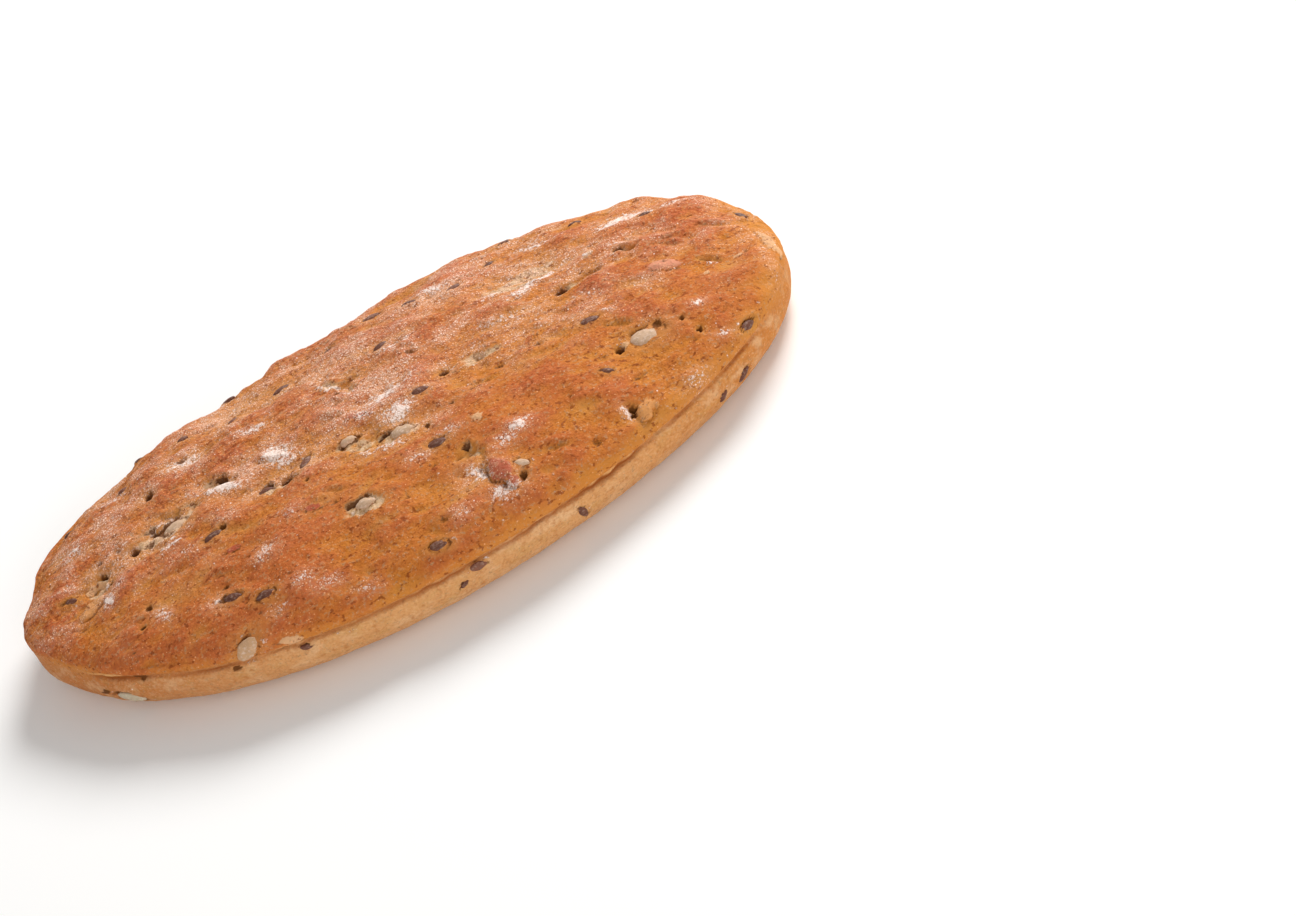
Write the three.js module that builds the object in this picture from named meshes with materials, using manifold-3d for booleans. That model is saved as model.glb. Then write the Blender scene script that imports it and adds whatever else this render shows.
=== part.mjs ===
// A soft oval flatbread roll lying on its flat underside: a browned crust domed over a paler side band,
// a thin crease between them, cracks and pits in the crust, and linseeds and kernels baked into it.
// Millimetres, +Z up, length along X, the browner shown side towards -Y.
import * as THREE from 'three';
import { mergeVertices } from 'three/addons/utils/BufferGeometryUtils.js';
import Module from 'manifold-3d';

// the roll's driving sizes
const halfLength = 100;
const halfWidth = 52;
const height = 26.5;
const creaseHeight = 11.9;
const creaseFall = 0.4; // how much lower the crease lies at the +X tip than in the middle
const baseInset = 6.5; // how far the flat underside stays inside the outline
const restSpot = { length: 124, width: 60, lift: 0.25 }; // it rests here, the rest of the base is lifted
const bandBelly = 0.7; // where the side band is fullest, as a share of the crease's height
const bandInset = 0.2;
const creaseDepth = 1.1;
const creaseSharpness = 4;
const creaseEnds = { from: 0.38, to: 0.58, lean: 0.09 }; // it runs out at the tips, sooner at the +X one
const lipHeight = 2.5; // from the crease up to where the dome starts
const domeShoulder = 2.18;
const domeFullness = 1.78;
const domeLean = { x: -0.04, y: -0.07 }; // the dome is a little fuller at the front and at the -X end

// the hand-shaped outline: waves added to the oval, as shares of its radius
const outlineWaves = [
  { lobes: 1, swell: 0.029, towards: -69 },
  { lobes: 2, swell: 0.013, towards: 59 },
  { lobes: 3, swell: 0.021, towards: 112 },
  { lobes: 4, swell: 0.018, towards: -120 },
  { lobes: 5, swell: 0.004, towards: -68 },
];

// single bumps and dents of the outline: which way from the middle, how wide in degrees, how far out
const outlineBumps = [
  { towards: 138, width: 9, out: 1.0 },
  { towards: 164, width: 7, out: -1.6 },
  { towards: -178, width: 8, out: 1.2 },
  { towards: 33, width: 7, out: -1.1 },
  { towards: 88, width: 6, out: -0.7 },
  { towards: 111, width: 5, out: -0.6 },
];

// where each stretch of the side starts, in degrees of latitude on the ball that the roll is shaped from
const lipLatitude = 8;
const bellyLatitude = -12;
const footLatitude = -34;

// long soft swells of the crust
const swells = { count: 7, longest: 64, shortest: 17, height: 0.42, turn: 2.4 };

// broad hollows and blisters of the crust: middle, length, width, turn in degrees, height of the bump
const undulations = [
  { x: -30, y: 33, length: 26, width: 15, turn: 0, rise: -1.5 },
  { x: -58, y: 0, length: 24, width: 8, turn: 7, rise: -0.9 },
  { x: -32, y: -5, length: 24, width: 8, turn: 2, rise: -0.8 },
  { x: -4, y: -11, length: 30, width: 7, turn: -20, rise: -1.0 },
  { x: 43, y: 20, length: 24, width: 7, turn: 7, rise: -0.9 },
  { x: 54, y: 6, length: 18, width: 6, turn: 4, rise: -0.7 },
  { x: 9, y: -39, length: 17, width: 10, turn: -8, rise: -1.2 },
  { x: 14, y: -43, length: 8, width: 5, turn: -70, rise: 1.3 },
  { x: -17, y: -32, length: 16, width: 6, turn: -12, rise: -0.8 },
  { x: 58, y: -26, length: 13, width: 9, turn: -8, rise: -0.9 },
  { x: 48, y: -44, length: 9, width: 8, turn: 20, rise: -0.8 },
  { x: 72, y: -5, length: 10, width: 6, turn: -24, rise: 0.8 },
  { x: -82, y: -8, length: 11, width: 9, turn: -18, rise: -0.7 },
  { x: -20, y: 14, length: 34, width: 16, turn: -6, rise: 0.7 },
  { x: 20, y: 10, length: 30, width: 18, turn: -4, rise: 0.6 },
  { x: -60, y: 20, length: 22, width: 12, turn: 12, rise: 0.6 },
];

// open cracks in the crust: middle, length, turn in degrees, sideways bend of the middle, width, depth
const cracks = [
  { x: -58.7, y: 0.4, length: 20, turn: 7, bend: -1.2, width: 3.4, depth: 1.5 },
  { x: -44, y: 3.4, length: 10, turn: -36, bend: 0.6, width: 1.8, depth: 1.4 },
  { x: -30.2, y: -8.4, length: 13, turn: -21, bend: -0.4, width: 2.6, depth: 1.6 },
  { x: -6.7, y: -12.7, length: 22, turn: -22, bend: -0.8, width: 2.6, depth: 1.8 },
  { x: -8, y: 12.2, length: 12, turn: -58, bend: 0.8, width: 1.2, depth: 0.9 },
  { x: 42.8, y: 18.6, length: 20, turn: 7, bend: -0.8, width: 2.8, depth: 1.3 },
  { x: 53.4, y: 5.7, length: 13, turn: 0, bend: 0.4, width: 1.8, depth: 1.4 },
  { x: 66.6, y: 7.1, length: 8, turn: -3, bend: 0, width: 1.2, depth: 1.1 },
  { x: 24, y: -3.6, length: 11, turn: -21, bend: -0.6, width: 1.4, depth: 0.9 },
  { x: 8.6, y: -34.1, length: 8, turn: -26, bend: 1.4, width: 2.0, depth: 1.8 },
  { x: 81.8, y: -9, length: 6, turn: -35, bend: 0, width: 1.0, depth: 0.8 },
  { x: -17.5, y: -31.6, length: 9, turn: -12, bend: 0.8, width: 2.2, depth: 1.5 },
];

// round pits: middle, width, depth
const pits = [
  { x: -59.2, y: 14.3, width: 2.4, depth: 1.8 },
  { x: -68.5, y: -1.2, width: 2.6, depth: 1.8 },
  { x: 52, y: -25, width: 2.2, depth: 2.0 },
  { x: 62.6, y: -23.4, width: 2.0, depth: 1.6 },
  { x: 46.3, y: -43.5, width: 2.0, depth: 1.6 },
  { x: 14.3, y: -3.7, width: 2.2, depth: 1.3 },
  { x: -11, y: -7.4, width: 2.0, depth: 1.8 },
  { x: 17.3, y: -45.8, width: 2.0, depth: 1.4 },
  { x: -47.6, y: -12.6, width: 1.8, depth: 1.4 },
];

// what is baked in: length, width and thickness of each kind, and how far its middle lies under the crust
const kinds = {
  linseed: { length: 4.8, width: 2.4, thickness: 1.3, sunk: 0.22, point: 0.35, around: 6, along: 4 },
  kernel: { length: 7.2, width: 4.4, thickness: 2.4, sunk: 0.5, point: 0.2, around: 8, along: 6 },
  oat: { length: 6.8, width: 4.2, thickness: 1.6, sunk: 0.3, point: 0.1, around: 8, along: 6 },
  pumpkinSeed: { length: 9, width: 5, thickness: 1.8, sunk: 0.3, point: 0.4, around: 8, along: 6 },
};

// on the crust: middle, turn in degrees, size as a share of the kind's length
const crustSeeds = [
  { kind: 'kernel', x: 58.9, y: -24.9, turn: -8, size: 1.05 },
  { kind: 'kernel', x: -56.8, y: -1.4, turn: 2, size: 0.9 },
  { kind: 'kernel', x: -17, y: -30.9, turn: -12, size: 0.7 },
  { kind: 'kernel', x: -12.7, y: -7.9, turn: 0, size: 0.6 },
  { kind: 'kernel', x: -1, y: -15.4, turn: -12, size: 0.8 },
  { kind: 'kernel', x: 18, y: -43, turn: -30, size: 0.5 },
  { kind: 'linseed', x: 4.4, y: -25.7, turn: -11, size: 1 },
  { kind: 'linseed', x: -7.6, y: -50.6, turn: -14, size: 1 },
  { kind: 'linseed', x: -46.9, y: -38.6, turn: -6, size: 1 },
  { kind: 'linseed', x: -53.7, y: -33.3, turn: -22, size: 0.95 },
  { kind: 'linseed', x: 49.9, y: -12.9, turn: -7, size: 0.95 },
  { kind: 'linseed', x: 46.3, y: -30.4, turn: -29, size: 0.7 },
  { kind: 'linseed', x: 5.9, y: 17.7, turn: 13, size: 0.85 },
  { kind: 'linseed', x: 28.3, y: 26.5, turn: 12, size: 0.85 },
  { kind: 'linseed', x: 7.6, y: -6.8, turn: -9, size: 0.9 },
  { kind: 'linseed', x: -35, y: -7.9, turn: -9, size: 0.8 },
  { kind: 'linseed', x: -50.7, y: -13.3, turn: 5, size: 1 },
  { kind: 'linseed', x: -23.7, y: -6.9, turn: 35, size: 0.9 },
  { kind: 'linseed', x: -86, y: -1.4, turn: -24, size: 0.7 },
  { kind: 'linseed', x: 80.3, y: -32, turn: 5, size: 0.9 },
  { kind: 'linseed', x: 76.8, y: 18, turn: 5, size: 0.7 },
  { kind: 'linseed', x: 96, y: 5.5, turn: -53, size: 0.8 },
  { kind: 'linseed', x: -63.2, y: 25.2, turn: 3, size: 0.6 },
];

// on the side band, front only: middle along X, height, turn in degrees, size
const bandSeeds = [
  { kind: 'oat', x: -55.3, height: 15.5, turn: 30, size: 1 },
  { kind: 'pumpkinSeed', x: -87, height: 4.5, turn: -4, size: 0.85 },
  { kind: 'linseed', x: -2.2, height: 9.8, turn: -8, size: 0.9 },
  { kind: 'linseed', x: -6.7, height: 7.2, turn: 30, size: 0.55 },
  { kind: 'linseed', x: 24.5, height: 6.2, turn: -72, size: 0.85 },
  { kind: 'linseed', x: -43.7, height: 10, turn: -16, size: 0.6 },
  { kind: 'linseed', x: 74, height: 5.2, turn: 20, size: 0.9 },
  { kind: 'linseed', x: 67, height: 5.4, turn: 30, size: 0.7 },
];

// linseeds scattered over the back, where none is placed by hand
const scatter = { seed: 41, count: 26, tries: 400, apart: 11, front: 24, size: [0.6, 1] };

// where the bread's rows of faces lie, in degrees on the ball: close together at the crease and the tips,
// then evenly over the crust
const tipRows = { ends: [0, 2.5, 5, 8, 12, 17, 23, 29, 36], middle: 40 };
const crustRows = { ends: [0, 2, 5, 8, 13, 19], middle: 13 };
const bandRows = [0, -2.5, -7, -12, -17, -22, -28, -34, -48, -68, -90];

const degrees = Math.PI / 180;

function randomFrom(seed) {
  let state = seed;
  return () => {
    state = (state * 16807) % 2147483647;
    return state / 2147483647;
  };
}

// the outline's share of the plain oval, by direction
function outlineShare(angle) {
  let share = 1;
  for (const wave of outlineWaves) {
    share += wave.swell * Math.cos(wave.lobes * angle - wave.towards * degrees);
  }
  return share;
}

// how far out the outline's bumps lie
function outlineBump(angle) {
  let out = 0;
  for (const bump of outlineBumps) {
    const away = angle / degrees - bump.towards;
    const turn = away - 360 * Math.round(away / 360);
    out += bump.out * Math.exp(-((turn / bump.width) ** 2));
  }
  return out;
}

// a point of the outline, moved inwards by inset
function outlinePoint(angle, inset) {
  const share = outlineShare(angle);
  const x = halfLength * Math.cos(angle) * share;
  const y = halfWidth * Math.sin(angle) * share;
  const reach = 1 / Math.hypot(x / halfLength ** 2, y / halfWidth ** 2);
  const kept = 1 - (inset - outlineBump(angle)) / reach;
  return { x: x * kept, y: y * kept };
}

function creaseAt(angle) {
  return creaseHeight - creaseFall * Math.cos(angle);
}

function creaseDepthAt(angle) {
  const side = Math.abs(Math.sin(angle)) - creaseEnds.lean * Math.cos(angle);
  return creaseDepth * THREE.MathUtils.smoothstep(side, creaseEnds.from, creaseEnds.to);
}

// the plain roll without relief: one surface point for each direction of a ball
function surfacePoint(direction) {
  const angle = Math.atan2(direction.y, direction.x);
  const latitude = Math.asin(THREE.MathUtils.clamp(direction.z, -1, 1)) / degrees;
  const crease = creaseAt(angle);
  const belly = crease * bandBelly;
  if (latitude >= lipLatitude) {
    const share = Math.cos((latitude - lipLatitude) / (90 - lipLatitude) * Math.PI / 2);
    const rim = outlinePoint(angle, 0);
    const start = crease + lipHeight;
    const lean = 1 + share * (domeLean.x * Math.cos(angle) + domeLean.y * Math.sin(angle));
    const dome = (height - start) * (1 - share ** domeShoulder) ** (1 / domeFullness) * lean;
    return new THREE.Vector3(rim.x * share, rim.y * share, start + dome);
  }
  if (latitude >= 0) {
    const up = latitude / lipLatitude;
    const rim = outlinePoint(angle, creaseDepthAt(angle) * (1 - up) ** creaseSharpness);
    return new THREE.Vector3(rim.x, rim.y, crease + lipHeight * up);
  }
  if (latitude >= bellyLatitude) {
    const down = latitude / bellyLatitude;
    const deeper = creaseDepthAt(angle) - bandInset;
    const rim = outlinePoint(angle, bandInset + deeper * (1 - down) ** creaseSharpness);
    return new THREE.Vector3(rim.x, rim.y, crease + (belly - crease) * down);
  }
  if (latitude >= footLatitude) {
    const curl = (latitude - footLatitude) / (bellyLatitude - footLatitude) * Math.PI / 2;
    const rim = outlinePoint(angle, baseInset - (baseInset - bandInset) * Math.sin(curl));
    return new THREE.Vector3(rim.x, rim.y, belly - (belly - restSpot.lift) * Math.cos(curl));
  }
  const share = Math.cos(latitude * degrees) / Math.cos(footLatitude * degrees);
  const rim = outlinePoint(angle, baseInset);
  return new THREE.Vector3(rim.x * share, rim.y * share, restLift(rim.x * share, rim.y * share));
}

// the underside's height: flat on the table inside the rest spot, lifted outside it
function restLift(x, y) {
  const beyond = Math.max(Math.abs(x) - restSpot.length / 2, Math.abs(y) - restSpot.width / 2);
  return beyond > 0 ? restSpot.lift : 0;
}

// the direction of the ball that lands on the crust above x, y
function crustDirection(x, y) {
  const angle = Math.atan2(y / halfWidth, x / halfLength);
  const share = Math.min(1, Math.hypot(x / halfLength, y / halfWidth) / outlineShare(angle));
  const latitude = lipLatitude + Math.acos(share) / (Math.PI / 2) * (90 - lipLatitude);
  return ballDirection(angle, latitude);
}

// the direction that lands on the front side at x, at the given height
function frontDirection(x, z) {
  const angle = -Math.acos(THREE.MathUtils.clamp(x / halfLength, -1, 1));
  const crease = creaseAt(angle);
  const belly = crease * bandBelly;
  if (z >= crease) {
    return ballDirection(angle, (z - crease) / lipHeight * lipLatitude);
  }
  if (z >= belly) {
    return ballDirection(angle, (crease - z) / (crease - belly) * bellyLatitude);
  }
  const curl = Math.acos(1 - z / belly) / (Math.PI / 2);
  return ballDirection(angle, footLatitude + (bellyLatitude - footLatitude) * curl);
}

function ballDirection(angle, latitude) {
  const flat = Math.cos(latitude * degrees);
  return new THREE.Vector3(flat * Math.cos(angle), flat * Math.sin(angle), Math.sin(latitude * degrees));
}

// the surface's outward direction, from its slope in two directions on the ball
function outwardAt(direction) {
  const step = 0.01;
  const side = new THREE.Vector3(0, 0, 1).cross(direction).normalize();
  const rise = direction.clone().cross(side);
  const slope = (axis) => {
    const ahead = surfacePoint(direction.clone().addScaledVector(axis, step).normalize());
    return ahead.sub(surfacePoint(direction.clone().addScaledVector(axis, -step).normalize()));
  };
  return slope(side).cross(slope(rise)).normalize();
}

// soft swells, broad hollows and blisters, fading out towards the crease
function crustRelief(point, latitude) {
  let relief = 0;
  for (let wave = 0; wave < swells.count; wave += 1) {
    const part = wave / (swells.count - 1);
    const span = swells.longest * (swells.shortest / swells.longest) ** part;
    const turn = wave * swells.turn;
    const along = (point.x * Math.cos(turn) + point.y * Math.sin(turn)) / span;
    relief += swells.height * (span / swells.longest) ** 0.6 * Math.sin(2 * Math.PI * along + wave * wave);
  }
  for (const bump of undulations) {
    const away = new THREE.Vector2(point.x - bump.x, point.y - bump.y);
    away.rotateAround(new THREE.Vector2(), -bump.turn * degrees);
    const distance = (2 * away.x / bump.length) ** 2 + (2 * away.y / bump.width) ** 2;
    relief += bump.rise * Math.exp(-distance);
  }
  return relief * THREE.MathUtils.smoothstep(latitude, 0, 3 * lipLatitude);
}

// one point of the crust with its relief
function crustPoint(direction) {
  const point = surfacePoint(direction);
  const latitude = Math.asin(direction.z) / degrees;
  return point.addScaledVector(outwardAt(direction), crustRelief(point, latitude));
}

// a ball whose rows are spread over the roll: its poles are the two tips, and one row is the crease
function makeBread() {
  const crustCount = crustRows.ends.length - 1 + crustRows.middle;
  const bandCount = bandRows.length - 1;
  const around = 2 * (crustCount + bandCount);
  const along = 2 * (tipRows.ends.length - 1) + tipRows.middle;
  const geometry = new THREE.SphereGeometry(1, around, along);
  const position = geometry.attributes.position;
  for (let index = 0; index < position.count; index += 1) {
    const column = index % (around + 1) % around;
    const row = Math.floor(index / (around + 1));
    const tip = tipAngle(row, along) * degrees;
    const girth = girthAngle(column, crustCount, bandCount) * degrees;
    const ring = Math.sin(tip);
    const direction = new THREE.Vector3(Math.cos(tip), ring * Math.cos(girth), ring * Math.sin(girth));
    const point = direction.z > 0 ? crustPoint(direction) : surfacePoint(direction);
    position.setXYZ(index, point.x, point.y, point.z);
  }
  cornerRestSpot(position);
  return geometry;
}

// moves the four nearest points of the underside onto the rest spot's corners, so that it is a rectangle
function cornerRestSpot(position) {
  for (const [side, end] of [[1, 1], [1, -1], [-1, 1], [-1, -1]]) {
    const corner = new THREE.Vector3(side * restSpot.length / 2, end * restSpot.width / 2, 0);
    const spot = new THREE.Vector3();
    let nearest = 0;
    let least = Infinity;
    for (let index = 0; index < position.count; index += 1) {
      spot.fromBufferAttribute(position, index);
      const distance = spot.distanceTo(corner);
      if (distance < least) {
        least = distance;
        nearest = index;
      }
    }
    position.setXYZ(nearest, corner.x, corner.y, corner.z);
  }
}

// the angle of one row from the +X tip
function tipAngle(row, along) {
  const last = tipRows.ends.length - 1;
  if (row <= last) {
    return tipRows.ends[row];
  }
  if (row >= along - last) {
    return 180 - tipRows.ends[along - row];
  }
  const reach = Math.cos(tipRows.ends[last] * degrees);
  return Math.acos(reach * (1 - 2 * (row - last) / tipRows.middle)) / degrees;
}

// the angle of one column round the girth, from the back crease over the crust to the front and under
function girthAngle(column, crustCount, bandCount) {
  if (column <= crustCount) {
    return crustAngle(column);
  }
  if (column <= 2 * crustCount) {
    return 180 - crustAngle(2 * crustCount - column);
  }
  const below = column - 2 * crustCount;
  if (below <= bandCount) {
    return 180 - bandRows[below];
  }
  return bandRows[2 * bandCount - below];
}

function crustAngle(column) {
  const last = crustRows.ends.length - 1;
  if (column <= last) {
    return crustRows.ends[column];
  }
  const reach = Math.cos(crustRows.ends[last] * degrees);
  return Math.acos(reach * (1 - (column - last) / crustRows.middle)) / degrees;
}

// a spindle with a pointed end: long axis X, thickness Z
function makeSpindle(length, width, thickness, point, around, along) {
  const geometry = new THREE.SphereGeometry(0.5, around, along);
  geometry.rotateZ(-Math.PI / 2);
  const position = geometry.attributes.position;
  for (let index = 0; index < position.count; index += 1) {
    const narrow = 1 - point * Math.max(0, 2 * position.getX(index)) ** 2;
    position.setY(index, position.getY(index) * narrow);
  }
  geometry.scale(length, width, thickness);
  return geometry;
}

// lays a geometry on the crust, with its Z along the surface's outward direction, sunk in by a distance
function layOn(geometry, direction, turn, sunk) {
  const outward = outwardAt(direction);
  const point = direction.z > 0 ? crustPoint(direction) : surfacePoint(direction);
  const along = new THREE.Vector3(1, 0, 0).addScaledVector(outward, -outward.x).normalize();
  const across = outward.clone().cross(along);
  const matrix = new THREE.Matrix4().makeBasis(along, across, outward);
  matrix.setPosition(point.addScaledVector(outward, -sunk));
  geometry.rotateZ(turn * degrees);
  geometry.applyMatrix4(matrix);
  return geometry;
}

function makeSeed(kindName, direction, turn, size) {
  const kind = kinds[kindName];
  const body = makeSpindle(kind.length * size, kind.width * size, kind.thickness,
    kind.point, kind.around, kind.along);
  return layOn(body, direction, turn, kind.sunk);
}

// a crack as the lens-shaped body that is cut out of the crust
function makeCrack(crack) {
  const body = makeSpindle(crack.length, crack.width, crack.depth * 2, 0, 6, 8);
  const position = body.attributes.position;
  for (let index = 0; index < position.count; index += 1) {
    const share = 2 * position.getX(index) / crack.length;
    position.setY(index, position.getY(index) + crack.bend * (1 - share * share));
  }
  return layOn(body, crustDirection(crack.x, crack.y), crack.turn, 0);
}

function makePit(pit) {
  const body = makeSpindle(pit.width, pit.width, pit.depth * 2, 0, 6, 5);
  return layOn(body, crustDirection(pit.x, pit.y), 0, 0);
}

// linseeds over the back by a seeded draw, each kept apart from the others
function scatteredSeeds() {
  const random = randomFrom(scatter.seed);
  const taken = crustSeeds.map((seed) => new THREE.Vector2(seed.x, seed.y));
  const found = [];
  for (let attempt = 0; attempt < scatter.tries && found.length < scatter.count; attempt += 1) {
    const x = (2 * random() - 1) * halfLength * 0.9;
    const y = (2 * random() - 1) * halfWidth * 0.95;
    const turn = (random() - 0.5) * 70;
    const size = THREE.MathUtils.lerp(scatter.size[0], scatter.size[1], random());
    const here = new THREE.Vector2(x, y);
    const inside = Math.hypot(x / halfLength, y / halfWidth) < 0.93;
    const clear = taken.every((other) => other.distanceTo(here) > scatter.apart);
    if (inside && clear && y > scatter.front) {
      taken.push(here);
      found.push({ kind: 'linseed', x, y, turn, size });
    }
  }
  return found;
}

const wasm = await Module();
wasm.setup();

function toSolid(geometry) {
  const plain = geometry.clone();
  plain.deleteAttribute('normal');
  plain.deleteAttribute('uv');
  const merged = mergeVertices(plain, 1e-4);
  const vertProperties = new Float32Array(merged.attributes.position.array);
  const triVerts = new Uint32Array(merged.index.array);
  return new wasm.Manifold(new wasm.Mesh({ numProp: 3, vertProperties, triVerts }));
}

function toGeometry(solid) {
  const mesh = solid.getMesh();
  const geometry = new THREE.BufferGeometry();
  geometry.setAttribute('position', new THREE.BufferAttribute(mesh.vertProperties, 3));
  geometry.setIndex(new THREE.BufferAttribute(mesh.triVerts, 1));
  return geometry;
}

// the bread with its cracks cut and its seeds joined on, centred over the origin, its underside at Z = 0
function makeRoll() {
  let roll = toSolid(makeBread());
  for (const cut of [...cracks.map(makeCrack), ...pits.map(makePit)]) {
    roll = roll.subtract(toSolid(cut));
  }
  for (const seed of [...crustSeeds, ...scatteredSeeds()]) {
    roll = roll.add(toSolid(makeSeed(seed.kind, crustDirection(seed.x, seed.y), seed.turn, seed.size)));
  }
  for (const seed of bandSeeds) {
    roll = roll.add(toSolid(makeSeed(seed.kind, frontDirection(seed.x, seed.height), seed.turn, seed.size)));
  }
  const geometry = toGeometry(roll);
  geometry.computeBoundingBox();
  const middle = geometry.boundingBox.getCenter(new THREE.Vector3());
  geometry.translate(-middle.x, -middle.y, -geometry.boundingBox.min.z);
  geometry.computeVertexNormals();
  return geometry;
}

const crust = new THREE.MeshStandardMaterial({ color: 0xc4763f, roughness: 0.75, metalness: 0 });
const bread = new THREE.Mesh(makeRoll(), crust);
bread.name = 'flatbread';

const group = new THREE.Group();
group.add(bread);

export default group;
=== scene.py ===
import math
import random
from types import SimpleNamespace

import bmesh
import bpy
import numpy as np
from mathutils import Matrix, Vector, noise


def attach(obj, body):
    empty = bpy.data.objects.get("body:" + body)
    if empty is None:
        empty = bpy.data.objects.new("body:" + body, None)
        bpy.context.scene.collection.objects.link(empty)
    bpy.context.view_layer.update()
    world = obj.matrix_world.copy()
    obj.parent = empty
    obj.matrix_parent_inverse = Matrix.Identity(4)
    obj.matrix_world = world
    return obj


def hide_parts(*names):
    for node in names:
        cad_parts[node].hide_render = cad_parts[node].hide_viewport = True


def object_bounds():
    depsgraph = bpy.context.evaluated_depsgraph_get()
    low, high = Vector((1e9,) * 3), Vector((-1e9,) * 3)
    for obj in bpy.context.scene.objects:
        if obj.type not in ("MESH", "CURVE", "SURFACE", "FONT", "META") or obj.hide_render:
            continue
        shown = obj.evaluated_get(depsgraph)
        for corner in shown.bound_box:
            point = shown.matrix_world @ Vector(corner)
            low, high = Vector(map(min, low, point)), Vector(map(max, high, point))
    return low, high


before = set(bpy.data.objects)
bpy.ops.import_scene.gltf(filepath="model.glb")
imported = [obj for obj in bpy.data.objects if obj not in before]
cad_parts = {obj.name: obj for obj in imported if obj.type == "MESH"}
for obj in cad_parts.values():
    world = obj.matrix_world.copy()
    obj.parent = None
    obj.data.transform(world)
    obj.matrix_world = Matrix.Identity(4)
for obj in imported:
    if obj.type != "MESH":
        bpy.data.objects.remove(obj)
cadLow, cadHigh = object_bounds()
print("frame loaded")

mm = 0.001
degree = math.pi / 180


# one hex colour as the linear values that sockets take
def linear(hexColour):
    values = [int(hexColour[i:i + 2], 16) / 255 for i in (1, 3, 5)]
    return [v / 12.92 if v <= 0.04045 else ((v + 0.055) / 1.055) ** 2.4 for v in values] + [1.0]


# adds a node with its settings, socket values and links
def addNode(tree, kind, settings=None, values=None, links=None):
    node = tree.nodes.new(kind)
    for name, value in (settings or {}).items():
        setattr(node, name, value)
    for name, value in (values or {}).items():
        node.inputs[name].default_value = value
    for name, source in (links or {}).items():
        tree.links.new(source, node.inputs[name])
    return node


# ---- camera, light and floor

cameraSettings = {
    "azimuth": -7.06, "elevation": 37.82, "roll": -25.57,  # degrees, as the photo sees the roll
    "distance": 1000.0, "slideX": 53.03, "slideY": 3.76,  # mm from the roll's middle
    "lens": 116.9, "sensor": 36.0,
}


def cameraAxes(settings):
    azimuth, elevation, roll = (settings[k] * degree for k in ("azimuth", "elevation", "roll"))
    back = Vector((math.sin(azimuth) * math.cos(elevation),
                   -math.cos(azimuth) * math.cos(elevation), math.sin(elevation)))
    right = Vector((math.cos(azimuth), math.sin(azimuth), 0))
    up = back.cross(right)
    across = right * math.cos(roll) + up * math.sin(roll)
    upward = up * math.cos(roll) - right * math.sin(roll)
    return across, upward, back


# settle is how far the roll's middle lies from the middle that the camera's place was measured from
def makeCamera(settings, settle):
    across, upward, back = cameraAxes(settings)
    data = bpy.data.cameras.new("camera")
    data.lens = settings["lens"]
    data.sensor_width = settings["sensor"]
    camera = bpy.data.objects.new("camera", data)
    bpy.context.collection.objects.link(camera)
    place = across * settings["slideX"] + upward * settings["slideY"] + back * settings["distance"]
    turn = Matrix((across, upward, back)).transposed()
    camera.matrix_world = Matrix.Translation((place + settle) * mm) @ turn.to_4x4()
    bpy.context.scene.camera = camera


lightSettings = {
    "key": {"up": 0.98, "back": -0.12, "across": 0.08, "distance": 1.3, "size": 0.6, "power": 17.5},
    "fill": {"up": -0.3, "back": 1.0, "across": 0.15, "distance": 1.4, "size": 0.8, "power": 6.2},
    "rim": {"up": 0.30, "back": 0.25, "across": 0.90, "distance": 1.3, "size": 0.9, "power": 2.6},
    "sky": 0.42, "lowest": 0.2,  # no lamp comes nearer the floor than this share of its distance
}


# soft boxes placed by the camera's own directions, so that the light falls as in the photo
def makeLights(settings):
    across, upward, back = cameraAxes(cameraSettings)
    for name in ("key", "fill", "rim"):
        light = settings[name]
        data = bpy.data.lights.new(name, "AREA")
        data.shape = "DISK"
        data.size = light["size"]
        data.energy = light["power"]
        lamp = bpy.data.objects.new(name, data)
        bpy.context.collection.objects.link(lamp)
        towards = (across * light["across"] + upward * light["up"] + back * light["back"]).normalized()
        towards.z = max(towards.z, settings["lowest"])
        lamp.location = towards * light["distance"]
        lamp.rotation_mode = "QUATERNION"
        lamp.rotation_quaternion = towards.to_track_quat("Z", "Y")
    world = bpy.data.worlds.new("studio")
    world.use_nodes = True
    backdrop = world.node_tree.nodes["Background"]
    backdrop.inputs["Color"].default_value = (1, 1, 1, 1)
    backdrop.inputs["Strength"].default_value = settings["sky"]
    bpy.context.scene.world = world


floorSettings = {"size": 6.0, "colour": "#fbfaf8", "roughness": 0.9, "specular": 0.1}  # metres


def makeFloor(settings):
    bm = bmesh.new()
    bmesh.ops.create_grid(bm, x_segments=1, y_segments=1, size=settings["size"] / 2)
    mesh = bpy.data.meshes.new("floor")
    bm.to_mesh(mesh)
    bm.free()
    floor = bpy.data.objects.new("floor", mesh)
    bpy.context.collection.objects.link(floor)
    material = bpy.data.materials.new("paleTable")  # plain matt white, so the roll alone has colour
    material.use_nodes = True
    shader = material.node_tree.nodes["Principled BSDF"]
    shader.inputs["Base Color"].default_value = linear(settings["colour"])
    shader.inputs["Roughness"].default_value = settings["roughness"]
    shader.inputs["Specular IOR Level"].default_value = settings["specular"]
    mesh.materials.append(material)


bpy.context.scene.view_settings.view_transform = "Standard"
makeLights(lightSettings)
makeFloor(floorSettings)
print("lights and floor made")


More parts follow.
